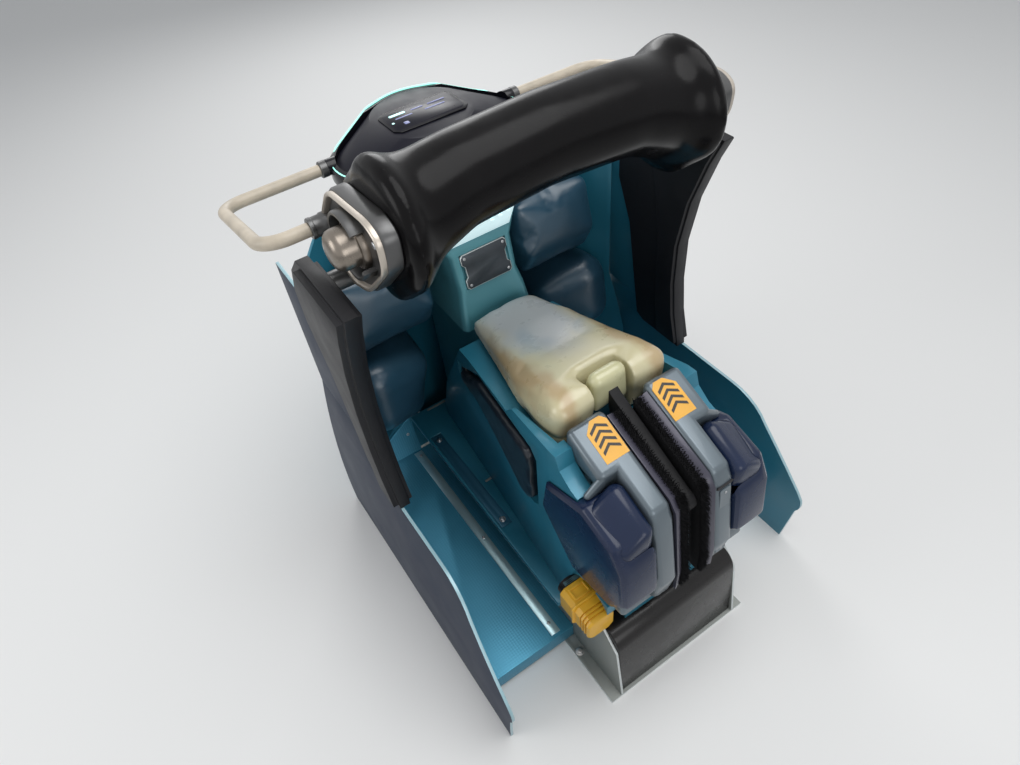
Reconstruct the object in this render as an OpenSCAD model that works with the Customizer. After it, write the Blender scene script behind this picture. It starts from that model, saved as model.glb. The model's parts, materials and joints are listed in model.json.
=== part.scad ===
// Straddle ride seat: one rider's place from a row of identical seats.
// The rider sits astride facing +Y; +X is the rider's right and z = 0 is the floor.

/* [Floor frame] */
// Width across the two side plates of the floor frame
frame_w = 320; // [300:1:330]
// From the origin back to the rear end of the floor frame
frame_rear = 462; // [450:1:480]
// From the origin forward to the front end of the floor frame
frame_front = 424; // [410:1:450]
// Thickness of the frame's sheet metal
sheet_t = 6; // [4:0.5:8]
// Width of the foot flanges outside the side plates
flange_w = 24; // [20:1:30]
// Diameter of the floor bolt holes
bolt_d = 9; // [6:0.5:11]
// Distance between the bolt holes along the seat
bolt_pitch_y = 640; // [500:5:700]
// Height of the side plates under the sills
side_h = 160; // [140:1:170]
// Height of the side plates at the heel box
side_rear_h = 208; // [195:1:220]

/* [Heel box] */
// Height of the heel box
heel_h = 204; // [190:1:215]
// Radius of the heel box's rounded upper edge
heel_r = 42; // [20:1:60]
// Depth of the heel box from rear to front
heel_len = 112; // [90:1:130]

/* [Spine] */
// Half width of the spine at the front, under the knees
spine_front_hw = 116; // [105:1:125]
// Half width of the spine at the rear, under the saddle's end
spine_rear_hw = 156; // [140:1:160]
// Height of the ledge beside the front of the saddle
ledge_h = 550; // [535:1:555]
// Step up to the raised ledge beside the rear of the saddle
ledge_step = 54; // [40:1:62]
// Depth of the pockets that hold the calf gates
pocket_depth = 26; // [20:1:32]

/* [Saddle] */
// Length of the saddle pad
saddle_len = 380; // [360:1:390]
// From the origin forward to the front edge of the saddle
saddle_front = 146; // [136:1:148]
// Half width of the saddle at its front edge
saddle_front_hw = 84; // [70:1:92]
// Half width of the saddle across its rear rolls
saddle_rear_hw = 132; // [125:1:150]
// Height of the saddle's surface above the ledge at the front
saddle_front_t = 38; // [30:1:50]
// Height of the saddle's surface above the ledge at the rear rolls
saddle_rear_t = 112; // [95:1:120]
// Length of the notch in the saddle's rear edge
notch_len = 60; // [56:1:76]

/* [Back restraint] */
// Half width of the slot between the rear pods
slot_hw = 44; // [40:1:48]
// Side clearance between the restraint pad and its slot
pad_gap = 6; // [5:0.5:8]
// Thickness of the restraint's arm
arm_t = 20; // [12:1:22]
// From the origin back to the restraint's pivot
pivot_back = 405; // [395:1:415]
// Height of the restraint's pivot
pivot_h = 520; // [505:1:535]
// Diameter of the restraint's pivot pin
pivot_d = 16; // [10:1:20]

/* [Rear pods] */
// From the origin back to the front faces of the pods
pod_front = 240; // [236:1:246]
// From the origin back to the rearmost point of the pods
pod_rear = 460; // [450:1:475]
// Half width across the pods' shoulders
pod_hw = 158; // [145:1:162]
// Half width across the flat tops of the pods
pod_top_hw = 122; // [110:1:132]
// Half width across the silver strips between the dark housings
strip_hw = 88; // [80:1:96]
// Height of the pods at their front edge
pod_front_h = 636; // [632:1:645]
// Height of the pods at the rear end of their sloping tops
pod_rear_h = 569; // [555:1:580]
// Height of the underside of the pods
pod_bottom = 306; // [300:1:320]
// Radius of the pods' rounded edges
pod_r = 12; // [6:1:16]
// Thickness of the dark side panels on the pods
panel_t = 9; // [5:1:12]

/* [Calf gates] */
// Thickness of a calf gate's padded paddle
gate_t = 24; // [16:1:28]
// Diameter of a calf gate's hinge pin
gate_pin_d = 10; // [8:1:12]
// From the origin forward to the hinge pins
gate_pin_y = 130; // [122:1:134]

/* [Footwells] */
// Height of the tread plates
tread_h = 50; // [40:1:60]
// Thickness of the tread plates and the kick plates
tread_t = 4; // [3:0.5:6]
// From the origin back to the rear edge of the tread plates
tread_rear = 300; // [260:1:330]
// From the origin forward to the front edge of the tread plates
tread_front = 330; // [310:1:340]
// Height of the front kick plates next to the spine
kick_h = 148; // [120:1:170]
// Radius of the curved front shell
shell_r = 420; // [410:1:440]
// Width of the moulded sills beside the spine
sill_w = 46; // [36:1:50]
// Thickness of the sills
sill_t = 12; // [8:1:16]

/* [Wings] */
// Distance from the middle to the wings' inner face at the floor
wing_x = 386; // [380:1:400]
// Thickness of the wings
wing_t = 6; // [4:0.5:8]
// Height of the wings' level top edge
wing_h = 376; // [350:1:390]
// Radius of the wings' gentle outward bulge
wing_bulge = 2400; // [1800:50:4000]

/* [Column and console] */
// Half width of the column beside the label plate
column_hw = 70; // [60:1:76]
// Half width of the column at the vent panel
vent_hw = 100; // [90:1:106]
// Width of the blank label plate
label_w = 107; // [96:1:118]
// Height of the blank label plate
label_h = 74; // [60:1:80]
// Width of one vent slot
vent_slot = 9; // [6:0.5:11]
// Half width of the console hood
console_hw = 206; // [195:1:216]
// From the origin forward to the middle of the hood's rounded ends
console_y = 332; // [322:1:342]
// Height of the console hood's front rim above the ledge
console_rise = 370; // [358:1:385]

/* [Chest pad] */
// Half length of the chest pad
chest_hw = 278; // [265:1:285]
// Height of the chest pad's middle
chest_h = 1022; // [1010:1:1030]
// Thickness of the chest pad at its middle
chest_thin = 128; // [110:1:140]
// Thickness of the chest pad at its flared ends
chest_rim = 214; // [190:1:220]
// Thickness of the end plates
end_t = 34; // [24:1:38]
// Diameter of the end knobs
knob_d = 62; // [50:1:70]

/* [Handles] */
// Diameter of the handle tube
handle_d = 22; // [18:1:26]
// Distance from the middle to the outermost point of the handles
handle_x = 412; // [400:1:420]

/* [Hidden] */
$fn = 48;
gap = 0.3;          // clearance between curved faces that only touch
fit = 0.15;         // clearance of a pin in its hole
plate_hw = frame_w / 2;
steel = "#7d8488";
teal = "#2f6f80";
navy = "#10204a";
black = "#0c0d10";

// Copies what is drawn on the rider's left to the side given by s, -1 left and 1 right
module side(s) {
    mirror([s > 0 ? 1 : 0, 0, 0]) children();
}

// Draws an outline of [y, z] points as a slab from x = x0 to x = x1
module slab(points, x0, x1) {
    translate([x0, 0, 0]) rotate([90, 0, 90]) linear_extrude(x1 - x0) polygon(points);
}

// Points of an arc in the y-z plane
function arc(y, z, r, from, to, n = 6) =
    [for (i = [0 : n]) let (a = from + (to - from) * i / n) [y + r * cos(a), z + r * sin(a)]];

// Floor frame: a pan with two foot flanges, bolted down through four holes
bolt_x = plate_hw + flange_w * 0.55;
bolt_y = (frame_front - frame_rear) / 2;
rib_places = [-210, 60, 340];   // cross ribs that carry the spine and the column
module base_frame() {
    color(steel) difference() {
        union() {
            translate([-plate_hw - flange_w, -frame_rear, 0])
                cube([frame_w + 2 * flange_w, frame_rear + frame_front, sheet_t]);
            for (y = rib_places) translate([-sill_in, y, sheet_t])
                cube([2 * sill_in, sheet_t, side_h - sheet_t]);
        }
        for (x = [-bolt_x, bolt_x], y = [bolt_y - bolt_pitch_y / 2, bolt_y + bolt_pitch_y / 2])
            translate([x, y, -1]) cylinder(d = bolt_d, h = sheet_t + 2);
    }
}

// Side plates: upright sheets with the dip in front of the heel box
side_profile = [
    [frame_front, sheet_t], [frame_front, side_h - sill_t], [-292, side_h - sill_t],
    [-318, side_rear_h - 8], [-394, side_rear_h], [-438, side_h + 4], [-frame_rear, sheet_t]
];
module side_plate(s) {
    color(steel) side(s) slab(side_profile, -plate_hw, -plate_hw + sheet_t);
}

// Heel box: closed box behind the rider's heels with a rounded upper edge
heel_x = plate_hw - sheet_t - gap;   // half width of what fits between the side plates
heel_lean = 16;                      // how far the box's rear face leans forwards at the top
module heel_body(wall, hw) {
    back = frame_rear - 6 - wall;
    front = heel_len - frame_rear + 6 - wall;
    slab(concat([[front, sheet_t - wall / 2], [front, heel_h - wall]],
        arc(heel_r + heel_lean + 6 - frame_rear, heel_h - heel_r, heel_r - wall, 90, 172, 8),
        [[-back, sheet_t - wall / 2]]), -hw, hw);
}
module heel_box() {
    color(black) difference() {
        heel_body(0, heel_x);
        heel_body(sheet_t, heel_x - sheet_t);
    }
}

// Spine: the body that the rider straddles, open at the rear for the restraint's arm
spine_floor = side_h + gap;
ledge_rear_h = ledge_h + ledge_step;
spine_side_a = atan((spine_rear_hw - spine_front_hw) / (pod_front + 140));
nose_top_y = 122;
nose_top_h = ledge_h - 12;
nose_low = [250, 330];      // lower end of the nose's slope, as [y, z]
function nose_z(y) = nose_top_h - (y - nose_top_y) * (nose_top_h - nose_low[1]) / (nose_low[0] - nose_top_y);
column_front = frame_front - 34;
spine_front = column_front - 42;
bed_hw = saddle_rear_hw + 2;
spine_profile = [
    [spine_front, spine_floor], [292, 222], nose_low, [nose_top_y, nose_top_h], [72, ledge_h - 4],
    [-85, ledge_h + 2], [-111, ledge_rear_h - 22], [-238, ledge_rear_h + 4], [-262, ledge_rear_h + 6],
    [-272, ledge_rear_h - 22], [-300, ledge_rear_h - 42], [-320, ledge_rear_h - 48],
    [-320, pod_bottom + 60], [-404, pod_bottom - gap], [-404, spine_floor]
];
spine_plan = [
    [60, spine_front + 4], [spine_front_hw - 14, 300], [spine_front_hw, 140], [spine_rear_hw, -pod_front],
    [spine_rear_hw, -404], [-spine_rear_hw, -404], [-spine_rear_hw, -pod_front],
    [-spine_front_hw, 140], [14 - spine_front_hw, 300], [-60, spine_front + 4]
];
knuckle_z = 454;        // underside of a gate's hinge knuckle
// Side outline of a calf gate, as [y, z] from its hinge pin rearwards
gate_outline = [
    [gate_pin_y - 6, knuckle_z + 26], [gate_pin_y - 34, knuckle_z + 34], [30, 530], [-172, 532], [-184, 520],
    [-178, 384], [-166, 368], [-136, 360], [-126, 366], [-26, 426], [40, 454], [gate_pin_y - 6, knuckle_z + 2]
];
pocket_outline = [
    [gate_pin_y + 17, knuckle_z + 34], [gate_pin_y - 12, knuckle_z + 36], [34, 540], [-176, 542], [-196, 524],
    [-189, 376], [-170, 358], [-136, 350], [-120, 354], [-20, 414], [44, 443],
    [gate_pin_y + 17, knuckle_z - 6]
];
// Puts what is drawn round the z axis on the left gate's hinge pin
pin_z = knuckle_z - 16;
pin_len = 64;
module on_pin() {
    translate([9 - spine_front_hw, gate_pin_y, 0]) children();
}
// Puts what is drawn along x = 0 on the spine's left wall, at the hinge pin
module on_wall() {
    translate([-spine_front_hw, 140, 0]) rotate([0, 0, -spine_side_a]) translate([0, -140, 0]) children();
}
module spine_shell() {
    color(teal) difference() {
        intersection() {
            slab(spine_profile, -spine_rear_hw - 10, spine_rear_hw + 10);
            translate([0, 0, spine_floor]) linear_extrude(ledge_rear_h) polygon(spine_plan);
        }
        // space for the pods' tops and for the restraint between them
        translate([-pod_top_hw - gap, -500, pod_bottom])
            cube([2 * pod_top_hw + 2 * gap, 500 - pod_front + gap, 400]);
        translate([-slot_hw, -500, spine_floor + 60]) cube([2 * slot_hw, 500 - pod_front + 50, 400]);
        translate([-slot_hw, -pod_front - 20, 480]) cube([2 * slot_hw, 98, 200]);
        // level bed for the saddle, between the raised ledges
        translate([-bed_hw, gap - pod_front, ledge_h + 2]) cube([2 * bed_hw, 340, 200]);
        // room for the heel box under the rear end
        translate([-spine_rear_hw - 1, -frame_rear, spine_floor - 1])
            cube([2 * spine_rear_hw + 2, heel_len + 6 + gap, heel_h + gap + 1 - spine_floor]);
        for (s = [-1, 1]) side(s) {
            on_wall() slab(pocket_outline, -20, pocket_depth);
            // arched recess round the power block's bracket
            translate([-spine_rear_hw - 20, -352, 250]) rotate([0, 90, 0]) cylinder(r = 58, h = 66);
            translate([-spine_rear_hw - 20, -410, 140]) cube([66, 116, 110]);
            translate([-spine_rear_hw - 1, -500, pod_bottom - gap]) cube([spine_rear_hw, 180 - gap, 400]);
            on_pin() translate([0, 0, pin_z - 1]) cylinder(d = gate_pin_d + 2 * fit, h = pin_len + 2);
        }
    }
}

// Column between the knees, leading up from the saddle to the console
console_h = ledge_h + console_rise;
column_top = console_h - 74;
vent_z = column_top - 122;
label_z = vent_z - label_h - 20;
// One row a section: height, rear y, front y, half width
column_table = [
    [ledge_h - 8, saddle_front + 2, column_front - 60, 84], [ledge_h + 40, 158, column_front - 40, 78],
    [label_z - 2, 170, column_front - 20, column_hw], [vent_z - 24, 186, column_front - 10, column_hw + 2],
    [vent_z + 28, 200, column_front - 4, vent_hw], [column_top, 214, column_front, vent_hw + 6]
];
module column_slice(row) {
    translate([0, 0, row[0]]) linear_extrude(0.5) hull() {
        for (s = [-1, 1]) {
            translate([s * (row[3] - 14), row[1] + 14]) circle(r = 14, $fn = 24);
            translate([s * (row[3] - 4), row[2] - 4]) circle(r = 4, $fn = 12);
        }
    }
}
module column_shell() {
    color(teal) difference() {
        union() {
            for (i = [0 : len(column_table) - 2]) hull() {
                column_slice(column_table[i]);
                column_slice(column_table[i + 1]);
            }
            slab([[spine_front + 1, spine_floor], [column_front - 30, spine_floor],
                [column_front - 10, ledge_h + 150], [column_front - 60, ledge_h + 150],
                [column_front - 60, ledge_h - 7], [saddle_front + 2, ledge_h - 7],
                [saddle_front + 2, nose_z(saddle_front + 2) + 1], nose_low + [1, 1], [293, 223]], -60, 60);
        }
        vent_body(1);
        label_place() translate([-label_w / 2 - 1, -8, -1]) cube([label_w + 2, 12, label_h + 2]);
    }
}

// Vent panel: bright plate with three slanted slots on each side of a plain middle
vent_lean = 9;
module vent_place() {
    translate([0, 197, vent_z]) rotate([-vent_lean, 0, 0]) children();
}
module vent_body(grow) {
    vent_place() translate([0, 12, 0]) rotate([90, 0, 0]) linear_extrude(30)
        polygon([[-70 - grow, -grow], [-88 - grow, 30], [-88 - grow, 112 + grow],
            [88 + grow, 112 + grow], [88 + grow, 30], [70 + grow, -grow]]);
}
module vent_panel() {
    color("#bfe6ea") difference() {
        intersection() {
            vent_body(0);
            vent_place() translate([-100, -9, -5]) cube([200, 21 - gap, 130]);
        }
        vent_place() for (s = [-1, 1], i = [0 : 2]) side(-s)
            translate([34 + i * 19, -10, 20 + i * 3]) rotate([0, 14, 0])
                translate([-vent_slot / 2, 0, 0]) cube([vent_slot, 16, 74]);
    }
}

// Label plate: a bare plate held by four small screws
module label_place() {
    translate([0, 170, label_z]) rotate([-15, 0, 0]) children();
}
module label_plate() {
    color("#1a2530") label_place() difference() {
        translate([-label_w / 2, -4, 0]) cube([label_w, 8 - gap, label_h]);
        for (x = [-1, 1], z = [8, label_h - 8])
            translate([x * (label_w / 2 - 8), -5, z]) rotate([-90, 0, 0]) cylinder(d = 4, h = 5);
        for (x = [-1, 1]) translate([x * label_w / 2, -5, label_h / 2])
            rotate([-90, 0, 0]) cylinder(d = 14, h = 12);
    }
}

// Distance from the middle to a wing's inner face at height z
wing_low = 60;
wing_rise = 60;     // height of the step from a wing's level edge to its upright part
function wing_in(z) = wing_x - wing_bulge + sqrt(pow(wing_bulge, 2) - pow(z - wing_low, 2));

// Front shell: curved bulkhead ahead of the shins, from the floor up to the console
shell_hw = wing_in(wing_h + wing_rise) - 2;
shell_top = column_top - 28;
shell_y = frame_front - 2 - shell_r;
shell_half = concat([[heel_x, 0], [heel_x, kick_h + 14]],
    [for (z = [kick_h + 14, 270, wing_h]) [wing_in(z) - 2, z]],
    [[shell_hw, wing_h + wing_rise], [shell_hw, shell_top - 60], [220, shell_top]]);
module shell_face() {
    n = len(shell_half) - 1;
    polygon(concat(shell_half, [for (i = [n : -1 : 0]) [-shell_half[i][0], shell_half[i][1]]]));
}
module front_shell() {
    color(teal) intersection() {
        difference() {
            translate([0, shell_y, sheet_t + gap]) cylinder(r = shell_r, h = shell_top, $fn = 96);
            translate([0, shell_y, 0]) cylinder(r = shell_r - sheet_t, h = shell_top + 20, $fn = 96);
        }
        translate([0, frame_front, 0]) rotate([90, 0, 0]) linear_extrude(frame_front - 180) shell_face();
    }
}

// Saddle: long pad, narrow in front, with two rolls at the rear round a notch
// One row a section: y, half width, height of the top, edge radius
saddle_table = [for (row = [
    [saddle_front - 10, saddle_front_hw - 6, saddle_front_t - 6, 10],
    [saddle_front - 30, saddle_front_hw, saddle_front_t + 2, 18],
    [20, 102, saddle_front_t + 24, 22], [-80, 122, saddle_rear_t - 32, 26],
    [-165, saddle_rear_hw - 4, saddle_rear_t - 6, 26],
    [saddle_front - saddle_len + 30, saddle_rear_hw, saddle_rear_t, 26],
    [saddle_front - saddle_len + 17, saddle_rear_hw - 8, saddle_rear_t - 12, 16]
]) row + [0, 0, ledge_h, 0]];
module saddle_slice(row) {
    for (s = [-1, 1]) {
        translate([s * (row[1] - row[3]), row[0], row[2] - row[3] - 4]) sphere(r = row[3], $fn = 20);
        translate([s * (row[1] - row[3]) * 0.5, row[0], row[2] - row[3]]) sphere(r = row[3], $fn = 20);
        translate([s * (row[1] - 8), row[0], ledge_h + 2 + gap]) cylinder(r = 8, h = 2, $fn = 20);
    }
}
module saddle() {
    color("#d8cf9a") difference() {
        for (i = [0 : len(saddle_table) - 2]) hull() {
            saddle_slice(saddle_table[i]);
            saddle_slice(saddle_table[i + 1]);
        }
        translate([-slot_hw, saddle_front - saddle_len - 10, 500]) cube([2 * slot_hw, notch_len + 10, 300]);
    }
}

// Back restraint: a pad in the slot behind the saddle, on an arm that lifts it
pad_hw = slot_hw - pad_gap;
pad_y = -208;
module at_pivot() {
    translate([0, -pivot_back, pivot_h]) children();
}
module restraint_arm() {
    color(black) difference() {
        union() {
            at_pivot() rotate([0, 90, 0]) cylinder(d = 44, h = arm_t, center = true);
            slab([[-pivot_back - 4, pivot_h + 21], [-pivot_back - 16, pivot_h - 12],
                [-pivot_back + 14, pivot_h - 18], [pad_y - 60, 546], [pad_y - 20, 574],
                [pad_y - 11 - gap, 598], [pad_y - 11 - gap, 634], [pad_y - 20, 628]], -arm_t / 2, arm_t / 2);
        }
        at_pivot() rotate([0, 90, 0]) cylinder(d = pivot_d + 2 * fit, h = 60, center = true);
    }
}
module restraint_pad() {
    color("#d8cf9a") hull() for (s = [-1, 1]) {
        translate([s * (pad_hw - 18), pad_y + 7, 651]) sphere(r = 18, $fn = 20);
        translate([s * (pad_hw - 12), pad_y + 16, 632]) sphere(r = 12, $fn = 20);
        translate([s * (pad_hw - 8), pad_y + 20, 598]) sphere(r = 8, $fn = 20);
        translate([s * (pad_hw - 8), pad_y - 3, 598]) sphere(r = 8, $fn = 20);
    }
}
module restraint_pin() {
    color(steel) at_pivot() rotate([0, 90, 0]) cylinder(d = pivot_d, h = 2 * slot_hw + 24, center = true);
}

// Brush strips that close the slot on both sides of the arm
brush_profile = [
    [10 - pod_rear, pod_bottom + 20], [10 - pod_rear, 380], [34 - pod_rear, pod_rear_h - 26],
    [48 - pod_rear, pod_rear_h - 8], [-pod_front - 14, pod_front_h - 13], [-pod_front - 14, pod_front_h - 40],
    [60 - pod_rear, pod_rear_h - 36], [38 - pod_rear, 380], [38 - pod_rear, pod_bottom + 20]
];
module brush(s) {
    color("#15151a") side(s) difference() {
        slab(brush_profile, gap - slot_hw, -arm_t / 2 - 5.5);
        at_pivot() rotate([0, 90, 0]) cylinder(d = pivot_d + 2, h = 2 * slot_hw, center = true);
    }
}

// Rear pods: silver housings on both sides of the slot, with sloping tops
pod_e = pod_r * cos(15);    // half width of a ball of 12 sides
pod_slope = (pod_front_h - pod_rear_h) / (pod_rear - 40 - pod_front - 2 * pod_e);
pod_strip = [
    [-300, pod_bottom + 30], [-pod_front, pod_front_h - 60], [-pod_front, pod_front_h],
    [40 - pod_rear, pod_rear_h], [28 - pod_rear, pod_rear_h - 24], [2 - pod_rear, 372],
    [12 - pod_rear, pod_bottom + 16], [40 - pod_rear, pod_bottom]
];
nose_step = 0.6;            // height of the strip above the nose
pod_nose = [
    [-pod_front - 1, pod_front_h - 60], [-pod_front - 1, pod_front_h - nose_step],
    [-336, pod_front_h - (335 - pod_front - 2 * pod_e) * pod_slope - nose_step], [-336, pod_front_h - 72]
];
pod_foot = [
    [-325, pod_bottom], [-321, pod_bottom + 20], [28 - pod_rear, pod_bottom + 35],
    [24 - pod_rear, pod_bottom + 18], [40 - pod_rear, pod_bottom]
];
// A body with rounded edges between x0 and x1, over an outline that turns clockwise
module soft_slab(points, x0, x1, r) {
    c = [for (i = [0, 1]) (max([for (p = points) p[i]]) + min([for (p = points) p[i]])) / 2];
    e = r * cos(15);
    hull() for (p = points, x = [x0 + e, x1 - e]) {
        v = c - p;
        translate([x, p[0] + sign(v[0]) * e, p[1] + sign(v[1]) * e]) sphere(r = r, $fn = 12);
    }
}
// Rounded shoulder let into the top of a housing, beside the silver strip
cap_r = 18;
module cap_body(grow) {
    hull() for (y = [-356, 40 - pod_rear], out = [0, 1], low = [0, 30])
        translate([-strip_hw - gap - cap_r - out * 34, y,
            pod_front_h - 5 - (-pod_front - y - pod_e) * pod_slope - cap_r - out * 22 - low])
            sphere(r = (cap_r + grow) / cos(11.25), $fn = 16);
}
// Side housing: seven-sided, thick behind the spine and a thin plate over the spine's flank
panel_outline = [
    [-234, 524], [-300, pod_front_h - 96], [-328, pod_front_h - 74], [32 - pod_rear, pod_rear_h - 29],
    [10 - pod_rear, 500], [-pod_rear, 388], [30 - pod_rear, 344], [-300, 328], [-220, 424]
];
module panel_body(grow) {
    c = [-344, 440];
    k = 1 + grow * 0.018;
    translate([0, c[0] * (1 - k), c[1] * (1 - k)]) scale([1, k, k]) difference() {
        soft_slab(panel_outline, -pod_hw - gap - panel_t - grow, -strip_hw - gap + grow, 15);
        translate([-pod_hw - gap + grow, grow - 322.5, 200]) cube([200, 300, 500]);
    }
}
module pod(s) {
    color("#8f9498") side(s) difference() {
        union() {
            soft_slab(pod_strip, -strip_hw, -slot_hw, pod_r);
            soft_slab(pod_nose, -pod_top_hw, -slot_hw - 6, pod_r);
            // flank that slopes outwards from the nose
            hull() for (p = [[10 - pod_top_hw, -38], [16 - pod_hw, -62], [-strip_hw, -62]])
                translate([p[0], -329, pod_front_h + p[1] - 8]) sphere(r = 7, $fn = 12);
            soft_slab(pod_foot, 10 - pod_hw, -slot_hw - 6, 8);
        }
        at_pivot() rotate([0, 90, 0]) translate([0, 0, -slot_hw - 13])
            cylinder(d = pivot_d + 2 * fit, h = 20);
    }
}
module pod_cap(s) {
    color(navy) side(s) cap_body(0);
}

// Dark gloss side housings: seven sides, over the pods and the spine's rear
module pod_panel(s) {
    color(navy) side(s) difference() {
        panel_body(0);
        // seat of the shoulder, open towards the strip
        hull() for (x = [0, 2 * cap_r]) translate([x, 0, 0]) cap_body(gap);
    }
}

// Calf gates: padded paddles that swing out from the spine behind the rider's calves
module calf_gate(s) {
    color(black) side(s) difference() {
        union() {
            on_wall() slab(gate_outline, -gate_t * 0.4, gate_t * 0.6);
            on_pin() translate([0, 0, knuckle_z]) cylinder(d = gate_pin_d + 12, h = 28);
        }
        on_pin() cylinder(d = gate_pin_d + 2 * fit, h = 800);
    }
}
module gate_pin(s) {
    color(steel) side(s) on_pin() translate([0, 0, pin_z]) cylinder(d = gate_pin_d, h = pin_len);
}

// Footwells: tread plate, rear skirt and the kick plate that slopes down outwards
tread_in = plate_hw + gap;
tread_out = wing_x - 1.1;
module footwell(s) {
    color(teal) side(s) {
        translate([-tread_out, -tread_rear, tread_h - tread_t])
            cube([tread_out - tread_in, tread_rear + tread_front, tread_t]);
        translate([-tread_out, -tread_rear, flange_clear])
            cube([tread_out - tread_in, tread_t, tread_h - tread_t - flange_clear]);
        translate([-tread_out, -tread_rear, 0]) cube([tread_t, tread_rear + tread_front, tread_h - tread_t]);
        difference() {
            slab([
                [tread_front - 1, tread_h - tread_t], [tread_front - 1, tread_h],
                [tread_front + 34, kick_h + 10], [tread_front + 38, kick_h + 10],
                [tread_front + 4, tread_h - tread_t]
            ], 40 - tread_out, -sill_out - gap);
            translate([-sill_out - gap, 0, kick_h]) rotate([0, -26, 0])
                translate([-400, 0, 0]) cube([500, 600, 400]);
        }
    }
}
flange_clear = sheet_t + gap;

// Sills: moulded rails on the side plates, with bolted cover plates in their tops
sill_out = plate_hw + 26;
sill_in = sill_out - sill_w;
cover_y = [-66, 256];
cover_w = sill_w - 18;
cover_t = 4;
module sill(s) {
    color(teal) side(s) difference() {
        union() {
            translate([-sill_out, -286, side_h - sill_t]) cube([sill_w, 286 + column_front - 40, sill_t]);
            // lip that closes the gap under the spine, notched round the cross ribs
            difference() {
                translate([-sill_out, -286, side_h - 4]) cube([sill_out - 64, 286 + column_front - 40, 4]);
                for (y = rib_places)
                    translate([-sill_in - gap, y - gap, 0]) cube([200, sheet_t + 2 * gap, 300]);
            }
        }
        translate([-sill_out + 7, cover_y[0] - gap, side_h - cover_t - 1])
            cube([cover_w, cover_y[1] - cover_y[0] + 2 * gap, cover_t + 2]);
    }
}
module cover_plate(s) {
    color("#3a5868") side(s) difference() {
        translate([-sill_out + 7 + gap, cover_y[0], side_h - cover_t - 1])
            cube([cover_w - 2 * gap, cover_y[1] - cover_y[0], cover_t]);
        for (y = [cover_y[0] + 18, cover_y[1] - 18])
            translate([-sill_out + 7 + cover_w / 2, y, side_h - 8]) cylinder(d = 8, h = 12);
    }
}

// Wings: thin leg fairings that lean in as they rise
// Rear edge of the wing's upper part, along the pillar, as [y, z]
wing_top = column_top - 88;
wing_edge = [
    [90, wing_h], [108, wing_h + 12], [116, wing_h + wing_rise], [148, 620], [188, 716], [190, wing_top]
];
wing_outline = concat(
    [[330, 0], [330, wing_h + wing_rise], wing_edge[2], wing_edge[1], wing_edge[0]],
    [[-190, wing_h]], arc(-190, wing_h - 110, 110, 90, 150, 5),
    [[-400, 186]], arc(-366, 150, 50, 160, 215, 4), [[-392, 0]]);
module wing(s) {
    top_in = wing_in(wing_h + wing_rise);
    color("#1d3a50") side(s) {
        intersection() {
            slab(wing_outline, -wing_x - 40, -280);
            translate([wing_bulge - wing_x, -500, wing_low]) rotate([-90, 0, 0]) difference() {
                cylinder(r = wing_bulge + wing_t, h = 1000, $fn = 256);
                translate([0, 0, -1]) cylinder(r = wing_bulge, h = 1002, $fn = 256);
            }
        }
        // upright upper part, up to the front shell's top corner
        slab([[330, wing_h + wing_rise - 3], [330, wing_top], wing_edge[5], wing_edge[4], wing_edge[3],
            wing_edge[2], wing_edge[2] - [0, 3]], -top_in - wing_t, -top_in);
    }
}

// Pillars: black fairings from the wings up to the ends of the chest pad
pillar_z = wing_h + gap;
pillar_in = wing_x - 44;   // from the middle out to a pillar's inner face
pillar_top = chest_h - 116;
pillar_outline = concat(
    [[-34, pillar_z], [-14, 460], [-4, 540], [-4, 640], [-24, 752], [-58, 850], [-84, pillar_top],
        [96, pillar_top], [150, 856], [187, 790]],
    [for (i = [4 : -1 : 1]) wing_edge[i] - [2 * gap, 0]], [[84, pillar_z]]);
pillar_ridge = [
    [-30, pillar_z + 10], [-10, 460], [0, 540], [0, 640], [-20, 752], [-54, 850], [-76, pillar_top - 8],
    [84, pillar_top - 8], [90, 830], [66, 740], [50, 640], [46, 540], [42, 460], [30, pillar_z + 10]
];
module pillar(s) {
    color(black) side(s) {
        slab(pillar_outline, 14 - wing_x, -pillar_in - 8);
        slab(pillar_ridge, 3 - wing_x, -pillar_in);
    }
}

// Knee and shin pads: soft bolsters on the front shell
module in_shell() {
    intersection() {
        children();
        translate([0, shell_y, 100]) cylinder(r = shell_r - sheet_t - gap, h = 900, $fn = 96);
    }
}
module knee_pad(s) {
    color(navy) side(s) in_shell() hull() {
        for (x = [-282, -130]) {
            translate([x, 246, 694]) sphere(r = 26, $fn = 16);
            translate([x, 216, 608]) sphere(r = 22, $fn = 16);
            translate([x, 240, 560]) sphere(r = 22, $fn = 16);
        }
        translate([-270, 400, 560]) cube([140, 4, 140]);
    }
}
module shin_pad(s) {
    color(navy) side(s) in_shell() hull() {
        translate([-278, 226, 462]) sphere(r = 58, $fn = 20);
        translate([-282, 216, 386]) sphere(r = 56, $fn = 20);
        translate([-194, 250, 438]) sphere(r = 50, $fn = 20);
        translate([-206, 262, 318]) sphere(r = 40, $fn = 20);
        translate([-296, 400, 308]) cube([140, 4, 200]);
    }
}

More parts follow.
